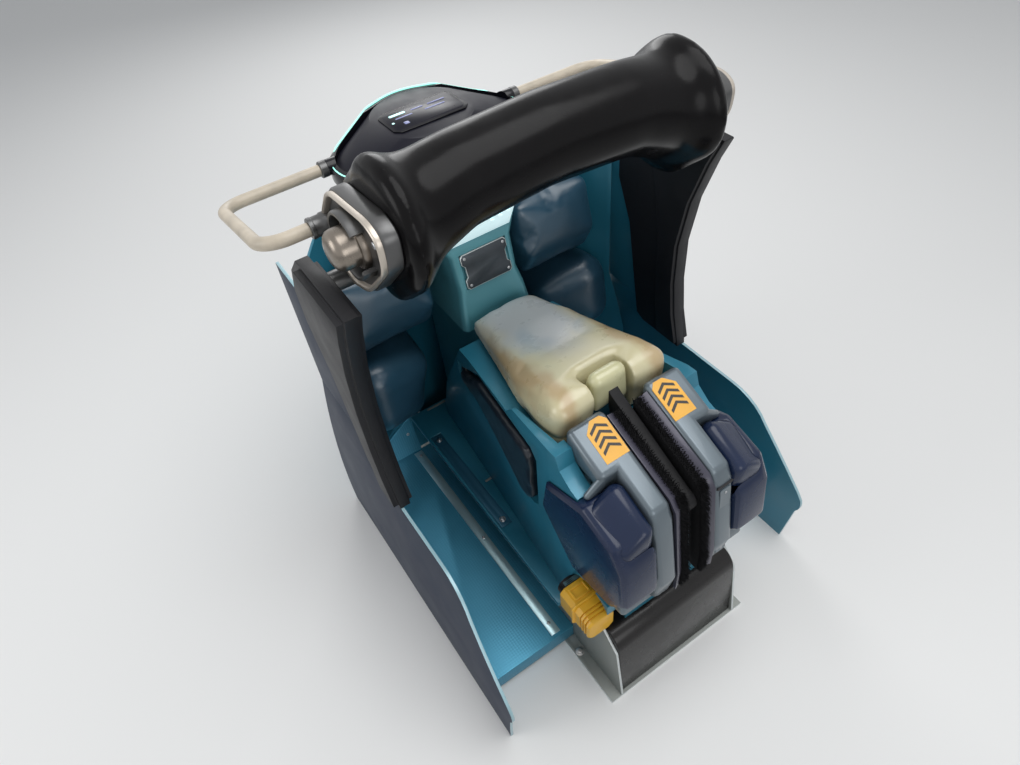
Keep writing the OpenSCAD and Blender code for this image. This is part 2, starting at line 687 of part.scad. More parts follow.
// Chest pad: a bolster across the seat, slim in the middle and flared at both ends
// One row a section: x, half length, half thickness, y, z
tilt = 41;
chest_table = [
    [0, 84, chest_thin / 2, -40, chest_h], [150, 87, chest_thin / 2 + 2, -40, chest_h - 8],
    [chest_hw - 64, 97, chest_thin / 2 + 10, -37, chest_h - 26],
    [chest_hw - 42, 111, chest_rim / 2 - 21, -34, chest_h - 36],
    [chest_hw - 28, 130, chest_rim / 2 - 7, -31, chest_h - 43],
    [chest_hw - 14, 138, chest_rim / 2, -30, chest_h - 46],
    [chest_hw, 126, chest_rim / 2 - 12, -30, chest_h - 46]
];
module chest_slice(row, s) {
    translate([s * row[0], row[3], row[4]]) rotate([-tilt, 0, 0]) rotate([0, 90, 0])
        linear_extrude(0.2, center = true) hull() for (d = [-1, 1])
            translate([0, d * (row[1] - row[2])]) circle(r = row[2], $fn = 40);
}
module chest_pad() {
    color(black) for (s = [-1, 1], i = [0 : len(chest_table) - 2]) hull() {
        chest_slice(chest_table[i], s);
        chest_slice(chest_table[i + 1], s);
    }
}

// End caps: bevelled plates on the chest pad's ends, each with a ring and a knob
end_outline = [for (p = [
    [97, -56], [38, 14], [-96, 28], [-128, 12], [-124, -42], [-36, -132], [34, -156], [90, -122]
]) p + [0, chest_h]];
knob_y = -24;
knob_z = chest_h - 46;
end_x = chest_hw + end_t;   // from the middle out to an end plate's face
hub_y = 82;
hub_z = chest_h - 67;
hub_len = 26;
module end_cap(s) {
    color("#9aa0a2") side(s) union() {
        hull() {
            slab(end_outline, -end_x + 8, -chest_hw - gap);
            translate([0, knob_y * 0.08, knob_z * 0.08]) scale([1, 0.92, 0.92])
                slab(end_outline, -end_x, -chest_hw - gap);
        }
        translate([-end_x, knob_y, knob_z]) rotate([0, -90, 0]) {
            difference() {
                cylinder(d = knob_d + 44, h = 14);
                translate([0, 0, 6]) cylinder(d = knob_d + 28, h = 10);
            }
            cylinder(d = knob_d, h = 32);
            translate([0, 0, 32]) cylinder(d1 = knob_d, d2 = knob_d - 12, h = 6);
        }
        // socket for the handle, and the boss that carries the plate on its pillar
        translate([-end_x - hub_len, hub_y, hub_z]) rotate([0, 90, 0])
            cylinder(d = handle_d + 10, h = hub_len + 8);
        translate([gap - pillar_in, 62, chest_h - 156]) rotate([0, 90, 0])
            cylinder(d = 34, h = pillar_in - chest_hw - 2 * gap);
    }
}

// Handles: tubes from the console outwards, round two bends and back to the sockets
bend_r = 44;            // radius of the bends
console_tip_x = console_hw + 4;
console_tip_y = console_y + 30;
console_tip_z = console_h - 40;
handle_len = norm([console_tip_y - hub_y, console_tip_z - hub_z]);
handle_lean = atan((hub_z - console_tip_z) / (console_tip_y - hub_y));
module handle(s) {
    color("#d9d0bc") side(s) translate([0, hub_y, hub_z]) rotate([-handle_lean, 0, 0]) {
        for (end = [[end_x + hub_len + gap, 0], [console_tip_x + gap, handle_len]])
            translate([bend_r - handle_x, end[1], 0]) rotate([0, 90, 0])
                cylinder(d = handle_d, h = handle_x - bend_r - end[0]);
        translate([-handle_x, bend_r, 0]) rotate([-90, 0, 0])
            cylinder(d = handle_d, h = handle_len - 2 * bend_r);
        translate([bend_r - handle_x, bend_r, 0]) rotate([0, 0, 180]) bend();
        translate([bend_r - handle_x, handle_len - bend_r, 0]) rotate([0, 0, 90]) bend();
    }
}
module bend() {
    rotate_extrude(angle = 90) translate([bend_r, 0]) circle(d = handle_d);
}

// Console hood: gloss housing ahead of the chest pad with an instrument face
module console_rim(shrink, z0, z1, h) {
    hull() {
        for (s = [-1, 1]) translate([s * (console_hw - 96), console_y, z0]) cylinder(r = 96 - shrink, h = h);
        translate([0, console_y + 22, z1]) cylinder(r = 116 - shrink, h = h);
    }
}
module console_hood() {
    color(black) difference() {
        union() {
            hull() {
                console_rim(0, console_h - 62, console_h - 24, 24);
                console_rim(60, column_top + 0.5 + gap, column_top + 0.5 + gap, 4);
            }
            // sockets for the handles
            translate([-console_tip_x, console_tip_y, console_tip_z]) rotate([0, 90, 0])
                cylinder(d = handle_d + 8, h = 2 * console_tip_x);
        }
        console_rim(14, console_h - 46, console_h - 8, 60);
        translate([-300, console_y - 252, column_top - 100]) cube([600, 170, 300]);
    }
}
module console_panel() {
    color("#141a22") intersection() {
        console_rim(15, console_h - 46 + gap, console_h - 8 + gap, 8);
        translate([-300, console_y - 80, column_top - 100]) cube([600, 300, 300]);
    }
}

// Power blocks: ribbed eight-sided blocks beside the heel box, on a bracket
module power_block(s) {
    color("#d99a12") side(s) {
        translate([-plate_hw - 8, -404, 246]) rotate([-90, 0, 0]) {
            cylinder(d = 66, h = 98, $fn = 8);
            for (y = [10, 52]) translate([0, 0, y]) cylinder(d = 72, h = 26, $fn = 8);
        }
        // bracket to the spine
        translate([-plate_hw - 20, -309, 226]) cube([plate_hw + 20 - 110 - gap, 11, 40]);
    }
}

base_frame();
side_plate(-1);  // side_plate_left
side_plate(1);  // side_plate_right
heel_box();
spine_shell();
column_shell();
vent_panel();
label_plate();
front_shell();
saddle();
restraint_arm();
restraint_pad();
restraint_pin();
brush(-1);  // brush_left
brush(1);  // brush_right
pod(-1);  // pod_left
pod(1);  // pod_right
pod_panel(-1);  // pod_panel_left
pod_panel(1);  // pod_panel_right
pod_cap(-1);  // pod_cap_left
pod_cap(1);  // pod_cap_right
calf_gate(-1);  // calf_gate_left
calf_gate(1);  // calf_gate_right
gate_pin(-1);  // gate_pin_left
gate_pin(1);  // gate_pin_right
footwell(-1);  // footwell_left
footwell(1);  // footwell_right
sill(-1);  // sill_left
sill(1);  // sill_right
cover_plate(-1);  // cover_plate_left
cover_plate(1);  // cover_plate_right
wing(-1);  // wing_left
wing(1);  // wing_right
pillar(-1);  // pillar_left
pillar(1);  // pillar_right
knee_pad(-1);  // knee_pad_left
knee_pad(1);  // knee_pad_right
shin_pad(-1);  // shin_pad_left
shin_pad(1);  // shin_pad_right
chest_pad();
end_cap(-1);  // end_cap_left
end_cap(1);  // end_cap_right
handle(-1);  // handle_left
handle(1);  // handle_right
console_hood();
console_panel();
power_block(-1);  // power_block_left
power_block(1);  // power_block_right
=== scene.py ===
# Straddle ride seat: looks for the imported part, from the floor frame up to the console.
import bpy
import json
import math
from mathutils import Matrix, Vector

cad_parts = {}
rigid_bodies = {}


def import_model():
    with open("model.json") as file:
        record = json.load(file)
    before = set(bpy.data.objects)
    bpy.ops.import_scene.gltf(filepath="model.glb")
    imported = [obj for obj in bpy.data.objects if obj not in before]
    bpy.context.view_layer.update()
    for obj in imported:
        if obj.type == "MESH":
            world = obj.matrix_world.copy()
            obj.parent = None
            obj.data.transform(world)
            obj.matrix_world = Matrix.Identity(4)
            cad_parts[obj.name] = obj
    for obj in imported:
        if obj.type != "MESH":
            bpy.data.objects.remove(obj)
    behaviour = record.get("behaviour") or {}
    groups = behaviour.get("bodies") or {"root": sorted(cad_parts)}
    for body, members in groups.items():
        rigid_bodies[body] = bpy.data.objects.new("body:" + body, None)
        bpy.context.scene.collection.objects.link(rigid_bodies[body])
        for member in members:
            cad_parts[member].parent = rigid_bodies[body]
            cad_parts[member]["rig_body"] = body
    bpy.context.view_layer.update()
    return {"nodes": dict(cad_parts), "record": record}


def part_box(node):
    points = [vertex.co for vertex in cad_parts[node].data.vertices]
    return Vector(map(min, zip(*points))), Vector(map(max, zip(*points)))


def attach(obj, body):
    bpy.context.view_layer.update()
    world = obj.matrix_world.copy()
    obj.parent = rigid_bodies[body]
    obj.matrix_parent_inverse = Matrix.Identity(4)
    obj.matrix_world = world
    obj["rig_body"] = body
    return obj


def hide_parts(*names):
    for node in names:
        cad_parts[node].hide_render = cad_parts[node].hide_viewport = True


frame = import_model()
nodes = frame["nodes"]

# Camera: stands where the photographer stood beside the row, above the rider's left
# shoulder, and is turned to hold the whole seat. Its lens is the photographer's, a touch wider.
bpy.ops.object.select_all(action="DESELECT")
stand = Vector((-0.550, -0.850, 1.556))
across = Vector((0.8251, -0.5591, -0.0816)).normalized()
up = Vector((0.4573, 0.5759, 0.6777))
up = (up - across * up.dot(across)).normalized()
back = across.cross(up)
bpy.ops.object.camera_add(location=stand)
camera = bpy.context.object
camera.name = "camera"
camera.matrix_world = Matrix.Translation(stand) @ Matrix((across, up, back)).transposed().to_4x4()
sensor, focal_pixels, wide_pixels = 36.0, 720, 1020
camera.data.lens = sensor * focal_pixels / wide_pixels
camera.data.sensor_width = sensor
camera.data.clip_start = 0.01
bpy.context.scene.camera = camera

# Studio: a pale seamless floor with a large soft lamp overhead and two weaker ones at the
# sides. The floor and the sky look pale to the camera and add little light of their own.
bpy.ops.mesh.primitive_plane_add(size=14, location=(0, 0, 0))
floor = bpy.context.object
floor.name = "studio_floor"
floor_paint = bpy.data.materials.new("studio_floor_paint")
floor_paint.use_nodes = True
tree = floor_paint.node_tree
tree.nodes["Principled BSDF"].inputs["Base Color"].default_value = (0.80, 0.80, 0.79, 1)
tree.nodes["Principled BSDF"].inputs["Roughness"].default_value = 0.9
grain = tree.nodes.new("ShaderNodeTexNoise")
grain.inputs["Scale"].default_value = 60
where = tree.nodes.new("ShaderNodeTexCoord")
tree.links.new(where.outputs["Object"], grain.inputs["Vector"])
rise = tree.nodes.new("ShaderNodeBump")
rise.inputs["Strength"].default_value = 0.03
tree.links.new(grain.outputs["Fac"], rise.inputs["Height"])
tree.links.new(rise.outputs["Normal"], tree.nodes["Principled BSDF"].inputs["Normal"])
floor.data.materials.append(floor_paint)
for name, place, size, power in (
        ("lamp_over", (0.5, -0.6, 3.4), 2.6, 62), ("lamp_left", (-3.0, 0.6, 1.9), 1.8, 26),
        ("lamp_front", (1.2, 3.0, 2.0), 1.8, 26), ("lamp_rear", (-0.4, -3.2, 1.6), 1.6, 16)):
    bpy.ops.object.light_add(type="AREA", location=place)
    lamp = bpy.context.object
    lamp.name = name
    lamp.data.shape = "DISK"
    lamp.data.size = size
    lamp.data.energy = power
    lamp.rotation_euler = (Vector((0, 0, 0.5)) - Vector(place)).to_track_quat("-Z", "Y").to_euler()
sky = bpy.data.worlds.new("studio_sky")
bpy.context.scene.world = sky
sky.use_nodes = True
sky_tree = sky.node_tree
light_path = sky_tree.nodes.new("ShaderNodeLightPath")
plain = sky_tree.nodes["Background"]
plain.inputs["Color"].default_value = (0.80, 0.83, 0.87, 1)
plain.inputs["Strength"].default_value = 0.42
pale = sky_tree.nodes.new("ShaderNodeBackground")
pale.inputs["Color"].default_value = (0.93, 0.94, 0.95, 1)
pale.inputs["Strength"].default_value = 1.0
chooser = sky_tree.nodes.new("ShaderNodeMixShader")
seen = light_path.outputs["Is Camera Ray"]
for kind in ("Is Glossy Ray", "Is Transmission Ray"):
    either = sky_tree.nodes.new("ShaderNodeMath")
    either.operation = "MAXIMUM"
    sky_tree.links.new(seen, either.inputs[0])
    sky_tree.links.new(light_path.outputs[kind], either.inputs[1])
    seen = either.outputs["Value"]
sky_tree.links.new(seen, chooser.inputs["Fac"])
sky_tree.links.new(plain.outputs["Background"], chooser.inputs[1])
sky_tree.links.new(pale.outputs["Background"], chooser.inputs[2])
sky_tree.links.new(chooser.outputs["Shader"], sky_tree.nodes["World Output"].inputs["Surface"])
bpy.context.scene.view_settings.view_transform = "Standard"

# Floor frame: folded and welded sheet steel in satin grey paint, with scuffs from boots.
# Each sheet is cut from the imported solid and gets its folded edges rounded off.
def alone(piece):
    """Makes one piece the only selected one and the active one."""
    bpy.ops.object.select_all(action="DESELECT")
    piece.select_set(True)
    bpy.context.view_layer.objects.active = piece

def copy_of(node, name):
    """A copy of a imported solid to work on, left in edit mode, with its doubled points merged."""
    piece = bpy.data.objects.new(name, nodes[node].data.copy())
    bpy.context.scene.collection.objects.link(piece)
    piece.data.materials.clear()
    alone(piece)
    bpy.ops.object.mode_set(mode="EDIT")
    bpy.ops.mesh.select_all(action="SELECT")
    bpy.ops.mesh.customdata_custom_splitnormals_clear()
    bpy.ops.mesh.remove_doubles(threshold=0.00002)
    return piece

def rounded(piece, width, rings, turn=30):
    """Rounds a piece's edges that turn by more than turn degrees."""
    rounding = piece.modifiers.new("rounded edges", "BEVEL")
    rounding.width = width
    rounding.segments = rings
    rounding.limit_method = "ANGLE"
    rounding.angle_limit = math.radians(turn)
    rounding.use_clamp_overlap = True
    bpy.ops.object.modifier_apply(modifier=rounding.name)

def sheet_of(node, name, edge, turn=28, rings=3, whole=True):
    """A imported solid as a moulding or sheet: its flat faces made whole again, if whole is true, and
    its sharp edges rounded by edge metres."""
    piece = copy_of(node, name)
    if whole:
        bpy.ops.mesh.dissolve_limited(angle_limit=math.radians(0.6))
    bpy.ops.object.mode_set(mode="OBJECT")
    if edge:
        rounded(piece, edge, rings, turn)
    bpy.ops.object.shade_smooth_by_angle(angle=math.radians(38))
    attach(piece, nodes[node]["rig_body"])
    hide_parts(node)
    return piece

def joined(pieces):
    """Joins pieces into the first of them."""
    bpy.ops.object.select_all(action="DESELECT")
    for piece in pieces:
        piece.select_set(True)
    bpy.context.view_layer.objects.active = pieces[0]
    bpy.ops.object.join()
    return pieces[0]

def dress(piece, paint):
    """Gives a piece its finish."""
    piece.data.materials.append(paint)

def mount(piece, paint):
    """Coats a new piece and fixes it to the seat's standing part."""
    dress(piece, paint)
    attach(piece, "root")

def noise(tree, place, scale, detail):
    """A soft random pattern over a piece, finer as scale grows."""
    pattern = tree.nodes.new("ShaderNodeTexNoise")
    pattern.inputs["Scale"].default_value = scale
    pattern.inputs["Detail"].default_value = detail
    tree.links.new(place.outputs["Object"], pattern.inputs["Vector"])
    return pattern.outputs["Fac"]

def relief(tree, pattern, strength, distance):
    """Small bumps from a pattern, for a shader's normal."""
    bump = tree.nodes.new("ShaderNodeBump")
    bump.inputs["Strength"].default_value = strength
    bump.inputs["Distance"].default_value = distance
    tree.links.new(pattern, bump.inputs["Height"])
    return bump

def finish(name, colour, rough, metal=0.0, coat=0.0, mottle=0.10, mottle_scale=6.0, grain=0.0,
           grain_scale=900.0, rub=0.07, shine=0.5):
    """A surface of its own colour, with slow colour drift, rubbed patches of changing gloss and a
    fine grain."""
    made = bpy.data.materials.new(name)
    made.use_nodes = True
    t = made.node_tree
    shader = t.nodes["Principled BSDF"]
    shader.inputs["Metallic"].default_value = metal
    shader.inputs["Specular IOR Level"].default_value = shine
    shader.inputs["Coat Weight"].default_value = coat
    shader.inputs["Coat Roughness"].default_value = 0.08
    place = t.nodes.new("ShaderNodeTexCoord")
    shade = t.nodes.new("ShaderNodeValToRGB")
    shade.color_ramp.elements[0].position = 0.28
    shade.color_ramp.elements[1].position = 0.72
    shade.color_ramp.elements[0].color = tuple(c * (1 - mottle) for c in colour) + (1,)
    shade.color_ramp.elements[1].color = tuple(min(1, c * (1 + mottle)) for c in colour) + (1,)
    t.links.new(noise(t, place, mottle_scale, 5), shade.inputs["Fac"])
    t.links.new(shade.outputs["Color"], shader.inputs["Base Color"])
    gloss = t.nodes.new("ShaderNodeMapRange")
    gloss.inputs["From Min"].default_value = 0.15
    gloss.inputs["From Max"].default_value = 0.85
    gloss.inputs["To Min"].default_value = max(0.02, rough - rub)
    gloss.inputs["To Max"].default_value = min(1.0, rough + rub)
    t.links.new(noise(t, place, mottle_scale * 4, 4), gloss.inputs["Value"])
    t.links.new(gloss.outputs["Result"], shader.inputs["Roughness"])
    if grain:
        pores = relief(t, noise(t, place, grain_scale, 3), grain, 0.0006)
        t.links.new(pores.outputs["Normal"], shader.inputs["Normal"])
    return made

frame_paint = finish("frame_paint", (0.235, 0.25, 0.235), 0.48, metal=0.25, mottle=0.14, grain=0.12,
                     grain_scale=700)
edge_paint = finish("edge_paint", (0.56, 0.60, 0.60), 0.40, metal=0.2, mottle=0.08)
sheet_top = 0.006
for node in ("base_frame", "side_plate_left", "side_plate_right"):
    piece = sheet_of(node, node + "_sheet", 0.0012)
    piece.data.materials.append(frame_paint)
    piece.data.materials.append(edge_paint)
    # the upright sheets' edges and the foot of the floor sheet are painted paler
    for face in piece.data.polygons:
        if node == "base_frame":
            pale_edge = face.center.z < sheet_top and abs(face.normal.z) < 0.6
        else:
            pale_edge = abs(face.normal.x) < 0.6
        face.material_index = 1 if pale_edge else 0
# floor bolts: hexagon heads on round washers, one in each hole of the foot flanges
bolt_steel = finish("bolt_steel", (0.50, 0.50, 0.50), 0.36, metal=1.0, mottle_scale=80)
holes = [m for m in frame["record"]["mounts"] if m["name"] == "floor_bolts"][0]
reach_x, reach_y = holes["dims"]["spacing_x_mm"] / 2000, holes["dims"]["spacing_y_mm"] / 2000
washer_thick, head_thick = 0.0018, 0.0058
for i, (sx, sy) in enumerate(((-1, -1), (1, -1), (-1, 1), (1, 1))):
    x, y = sx * reach_x, holes["pos_m"][1] + sy * reach_y
    bpy.ops.mesh.primitive_cylinder_add(vertices=32, radius=0.0095, depth=washer_thick,
                                        location=(x, y, sheet_top + washer_thick / 2))
    bolt = bpy.context.object
    bpy.ops.mesh.primitive_cylinder_add(vertices=6, radius=0.0075, depth=head_thick, rotation=(0, 0, 0.3 * i),
                                        location=(x, y, sheet_top + washer_thick + head_thick / 2))
    joined([bolt, bpy.context.object]).name = f"floor_bolt_{i + 1}"
    bpy.ops.object.transform_apply(location=True, rotation=True, scale=True)
    rounded(bolt, 0.0007, 2)
    bpy.ops.object.shade_smooth_by_angle(angle=math.radians(35))
    mount(bolt, bolt_steel)

# Heel box: a gloss black moulding that the rider's heels brush past, so its top edge is
# polished by wear. It closes the frame behind the footwells.
heel_black = finish("heel_black", (0.008, 0.007, 0.007), 0.28, coat=0.10, mottle=0.3, rub=0.08, shine=0.25)
dress(sheet_of("heel_box", "heel_box_moulding", 0.003), heel_black)

# Spine: the teal moulding that the rider straddles, with rounded shoulders and a pocket on
# each side for the calf gate. It is bolted to the frame's ribs.
teal = finish("teal_moulding", (0.024, 0.178, 0.262), 0.36, metal=0.20, coat=0.20, mottle=0.12,
              mottle_scale=4, grain=0.05, grain_scale=1200)
dress(sheet_of("spine_shell", "spine_moulding", 0.0035, rings=4), teal)

# Column: the neck that sweeps up from the saddle to the console, one skin with a soft
# bend over the saddle's front edge. It is a paler teal than the spine, partly its own colour
# and partly painted light, where bright light falls on the neck.
column_teal_and_painted_light = finish("column_teal_and_painted_light", (0.090, 0.295, 0.345), 0.32, metal=0.25, coat=0.25, mottle=0.08,
                     mottle_scale=5, grain=0.04, grain_scale=1200)
dress(sheet_of("column_shell", "column_moulding", 0.0025, turn=34), column_teal_and_painted_light)

# Vents: a pale plate with three slanted slots on each side of a bare middle. It has no lamp
# of its own, and its soft glow is painted light.
vent_pale_painted_glow = finish("vent_pale_painted_glow", (0.72, 0.86, 0.88), 0.30, mottle=0.04, rub=0.05)
vent_shader = vent_pale_painted_glow.node_tree.nodes["Principled BSDF"]
# painted light: a soft glow that stands for the light falling on the plate
vent_shader.inputs["Emission Color"].default_value = (0.60, 0.93, 1.0, 1)
vent_shader.inputs["Emission Strength"].default_value = 0.35
dress(sheet_of("vent_panel", "vent_plate", 0.0012), vent_pale_painted_glow)

# Label plate: a bare dark sheet with a thin pale border and four small screws, as the
# real plate is held, and with nothing printed on it.
plate_dark = finish("plate_dark", (0.050, 0.060, 0.070), 0.40, metal=0.4, mottle=0.2, mottle_scale=20)
screw_steel = finish("screw_steel", (0.46, 0.47, 0.48), 0.32, metal=1.0, mottle=0.12, mottle_scale=120)

def screw(name, place, facing, radius):
    """A low domed screw head with a hexagon socket, its axis along facing."""
    turn = Vector(facing).normalized().to_track_quat("Z", "Y").to_matrix().to_4x4()
    bpy.ops.mesh.primitive_cylinder_add(vertices=28, radius=radius, depth=radius * 0.56)
    head = bpy.context.object
    head.name = name
    rounded(head, radius * 0.26, 3)
    bpy.ops.mesh.primitive_cylinder_add(vertices=6, radius=radius * 0.46, depth=radius * 0.5,
                                        location=(0, 0, radius * 0.3))
    key = bpy.context.object
    alone(head)
    cut = head.modifiers.new("socket", "BOOLEAN")
    cut.operation = "DIFFERENCE"
    cut.object = key
    bpy.ops.object.modifier_apply(modifier=cut.name)
    bpy.data.objects.remove(key)
    head.data.transform(Matrix.Translation(Vector(place)) @ turn)
    bpy.ops.object.shade_smooth_by_angle(angle=math.radians(35))
    head.data.materials.clear()
    mount(head, screw_steel)

label_lean = math.radians(15)
label_out = Vector((0, -math.cos(label_lean), math.sin(label_lean)))
label_up = Vector((0, math.sin(label_lean), math.cos(label_lean)))
low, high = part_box("label_plate")
plate_thick = 0.004
plate_foot = Vector((0, low.y, low.z + plate_thick * math.sin(label_lean))) + label_out * 0.0001
plate_half = (high.x - low.x) / 2
plate_tall = (high.z - low.z - plate_thick * math.sin(label_lean)) / math.cos(label_lean)

def plate_outline(inset, rise):
    """The plate's outline, drawn in by inset and rise metres out: its corners are cut, and its sides
    are notched at mid height."""
    cut, notch, tab = 0.005, 0.006, 0.020
    w, t = plate_half - inset, plate_tall
    right = [(w - cut, inset), (w, inset + cut), (w, tab), (w - notch, tab + notch),
             (w - notch, t - tab - notch), (w, t - tab), (w, t - inset - cut), (w - cut, t - inset)]
    line = right + [(-x, h) for x, h in reversed(right)]
    return [plate_foot + Vector((x, 0, 0)) + label_up * h + label_out * rise for x, h in line]

def lofted(name, rings, turn=38, open_ends=False):
    """A skin through rings of points, each with the same count, and shut at both ends unless open_ends is
    true.
    """
    count = len(rings[0])
    bpy.ops.object.select_all(action="DESELECT")
    bpy.ops.mesh.primitive_grid_add(x_subdivisions=count, y_subdivisions=len(rings) - 1, size=1)
    skin = bpy.context.object
    skin.name = name
    for i, v in enumerate(skin.data.vertices):
        v.co = rings[i // (count + 1)][i % (count + 1) % count]
    bpy.ops.object.mode_set(mode="EDIT")
    bpy.ops.mesh.select_all(action="SELECT")
    bpy.ops.mesh.remove_doubles(threshold=0.00001)
    if not open_ends:
        bpy.ops.mesh.fill_holes(sides=0)
    bpy.ops.mesh.normals_make_consistent(inside=False)
    bpy.ops.object.mode_set(mode="OBJECT")
    bpy.ops.object.shade_smooth_by_angle(angle=math.radians(turn))
    return skin

plate_edge = finish("plate_edge", (0.52, 0.56, 0.56), 0.36, metal=0.5, mottle=0.08, mottle_scale=30)
for name, outline, paint in (
        ("label_border", ((0.0, -0.0035), (0.0, 0.0004), (0.0003, 0.0006)), plate_edge),
        ("label_sheet", ((0.0014, 0.0), (0.0014, 0.0010), (0.0018, 0.0013)), plate_dark)):
    layer = lofted(name, [plate_outline(inset, rise) for inset, rise in outline])
    mount(layer, paint)
    if name == "label_border":
        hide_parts("label_plate")
screw_in = 0.0085
screw_top = plate_tall - screw_in
for i, (sx, h) in enumerate(((-1, screw_in), (1, screw_in), (-1, screw_top), (1, screw_top))):
    spot = plate_foot + Vector((sx * (plate_half - screw_in), 0, 0)) + label_up * h + label_out * 0.0020
    screw(f"label_screw_{i + 1}", spot, label_out, 0.0032)

# Front shell: the curved bulkhead ahead of the shins, moulded in one teal skin like the
# spine. It is bolted to the floor frame and to both wings.
dress(sheet_of("front_shell", "front_shell_moulding", 0.002, turn=40), teal)

# Saddle: foam under a smooth coated cover, pulled over two rolls at the rear. Its top has a
# silver painted highlight over the cream, with painted bluish reflections in it, and the colour
# is darker and browner along both flanks.
def vinyl(name, colour, rough, pore_scale, pore, coat=0.12, mottle=0.10, shine=0.5):
    """Smooth coated cloth: fine leather pores, slow shade changes and faint creases."""
    made = finish(name, colour, rough, coat=coat, mottle=mottle, mottle_scale=9, rub=0.08, shine=shine)
    t = made.node_tree
    shader = t.nodes["Principled BSDF"]
    shader.inputs["Coat Roughness"].default_value = 0.22
    place = t.nodes.new("ShaderNodeTexCoord")
    pores = t.nodes.new("ShaderNodeTexVoronoi")
    pores.inputs["Scale"].default_value = pore_scale
    t.links.new(place.outputs["Object"], pores.inputs["Vector"])
    fine = relief(t, pores.outputs["Distance"], pore, 0.0004)
    slow = relief(t, noise(t, place, 12, 2), 0.05, 0.003)
    t.links.new(fine.outputs["Normal"], slow.inputs["Normal"])
    t.links.new(slow.outputs["Normal"], shader.inputs["Normal"])
    return made

def stuffed(node, name, voxel, thin, soften, cap, floor_z=None, body="root", settle=4):
    """Foam in a cover, grown from a packed soft solid: remeshed at voxel metres, softened, made thin
    metres smaller all round, blown up as cloth with its movement capped, settled into a taut skin, and
    made finer."""
    piece = copy_of(node, name)
    bpy.ops.object.mode_set(mode="OBJECT")
    even = piece.modifiers.new("even mesh", "REMESH")
    even.mode = "VOXEL"
    even.voxel_size = voxel
    bpy.ops.object.modifier_apply(modifier=even.name)
    soft = piece.modifiers.new("soft edges", "SMOOTH")
    soft.factor = 0.5
    soft.iterations = soften
    bpy.ops.object.modifier_apply(modifier=soft.name)
    bpy.ops.object.mode_set(mode="EDIT")
    bpy.ops.mesh.select_all(action="SELECT")
    bpy.ops.transform.shrink_fatten(value=-thin)
    bpy.ops.object.mode_set(mode="OBJECT")
    rest = [v.co.copy() for v in piece.data.vertices]
    cloth = piece.modifiers.new("filling", "CLOTH")
    cloth.settings.use_pressure = True
    cloth.settings.uniform_pressure_force = 4.0
    cloth.settings.effector_weights.gravity = 0
    cloth.settings.quality = 4
    cloth.settings.mass = 0.3
    cloth.settings.tension_stiffness = 12
    cloth.settings.compression_stiffness = 12
    cloth.settings.bending_stiffness = 0.6
    cloth.collision_settings.use_collision = False
    moments = 20
    cloth.point_cache.frame_end = moments
    for moment in range(1, moments + 1):
        bpy.context.scene.frame_set(moment)
    bpy.ops.object.modifier_apply(modifier=cloth.name)
    bpy.context.scene.frame_set(1)
    for v, start in zip(piece.data.vertices, rest):
        move = v.co - start
        if move.length > cap:
            v.co = start + move * (cap / move.length)
    taut = piece.modifiers.new("taut cover", "SMOOTH")
    taut.factor = 0.5
    taut.iterations = settle
    bpy.ops.object.modifier_apply(modifier=taut.name)
    lowest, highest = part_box(node)
    swell = 0.004
    finer = piece.modifiers.new("finer", "SUBSURF")
    finer.levels = finer.render_levels = 1
    bpy.ops.object.modifier_apply(modifier=finer.name)
    for v in piece.data.vertices:
        for axis in range(3):
            v.co[axis] = min(max(v.co[axis], lowest[axis] - swell), highest[axis] + swell)
        if floor_z is not None:
            v.co.z = max(v.co.z, floor_z)
    bpy.ops.object.shade_smooth()
    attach(piece, body)
    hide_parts(node)
    return piece

def groove(piece, distance, width, depth):
    """Draws a sewn seam into a cover: points sink in along the normal where distance(point) is near 0."""
    normals = [v.normal.copy() for v in piece.data.vertices]
    for v, normal in zip(piece.data.vertices, normals):
        far = distance(v.co)
        if abs(far) < width * 3:
            v.co -= normal * depth * math.exp(-(far / width) ** 2)

saddle_cream = vinyl("saddle_cream", (0.60, 0.55, 0.35), 0.30, pore_scale=900, pore=0.06, coat=0.30,
                     mottle=0.03)
t = saddle_cream.node_tree
shader = t.nodes["Principled BSDF"]
cream_drift = shader.inputs["Base Color"].links[0].from_socket
place = t.nodes.new("ShaderNodeTexCoord")
where = t.nodes.new("ShaderNodeSeparateXYZ")
t.links.new(place.outputs["Object"], where.inputs["Vector"])
cloud = noise(t, place, 11, 3)

def blend_of(kind, first, second):
    """One step of arithmetic on a pattern: first and second are sockets or plain numbers."""
    step = t.nodes.new("ShaderNodeMath")
    step.operation = kind
    for socket, value in zip(step.inputs, (first, second)):
        if isinstance(value, (int, float)):
            socket.default_value = value
        else:
            t.links.new(value, socket)
    return step.outputs["Value"]

def coat_of(base, layer, amount):
    """One colour laid over another, where amount runs from 0 to 1."""
    mix = t.nodes.new("ShaderNodeMix")
    mix.data_type = "RGBA"
    t.links.new(amount, mix.inputs["Factor"])
    t.links.new(base, mix.inputs["A"])
    mix.inputs["B"].default_value = layer + (1,)
    return mix.outputs["Result"]

def fade(value, start, end):
    """Turns a distance into an amount that falls smoothly from 1 at start to 0 at end."""
    ramp = t.nodes.new("ShaderNodeMapRange")
    ramp.interpolation_type = "SMOOTHSTEP"
    ramp.inputs["From Min"].default_value = start
    ramp.inputs["From Max"].default_value = end
    ramp.inputs["To Min"].default_value = 1.0
    ramp.inputs["To Max"].default_value = 0.0
    t.links.new(value, ramp.inputs["Value"])
    return ramp.outputs["Result"]

highlight_middle_y, highlight_long, flank_x = 0.050, 0.52, 0.098
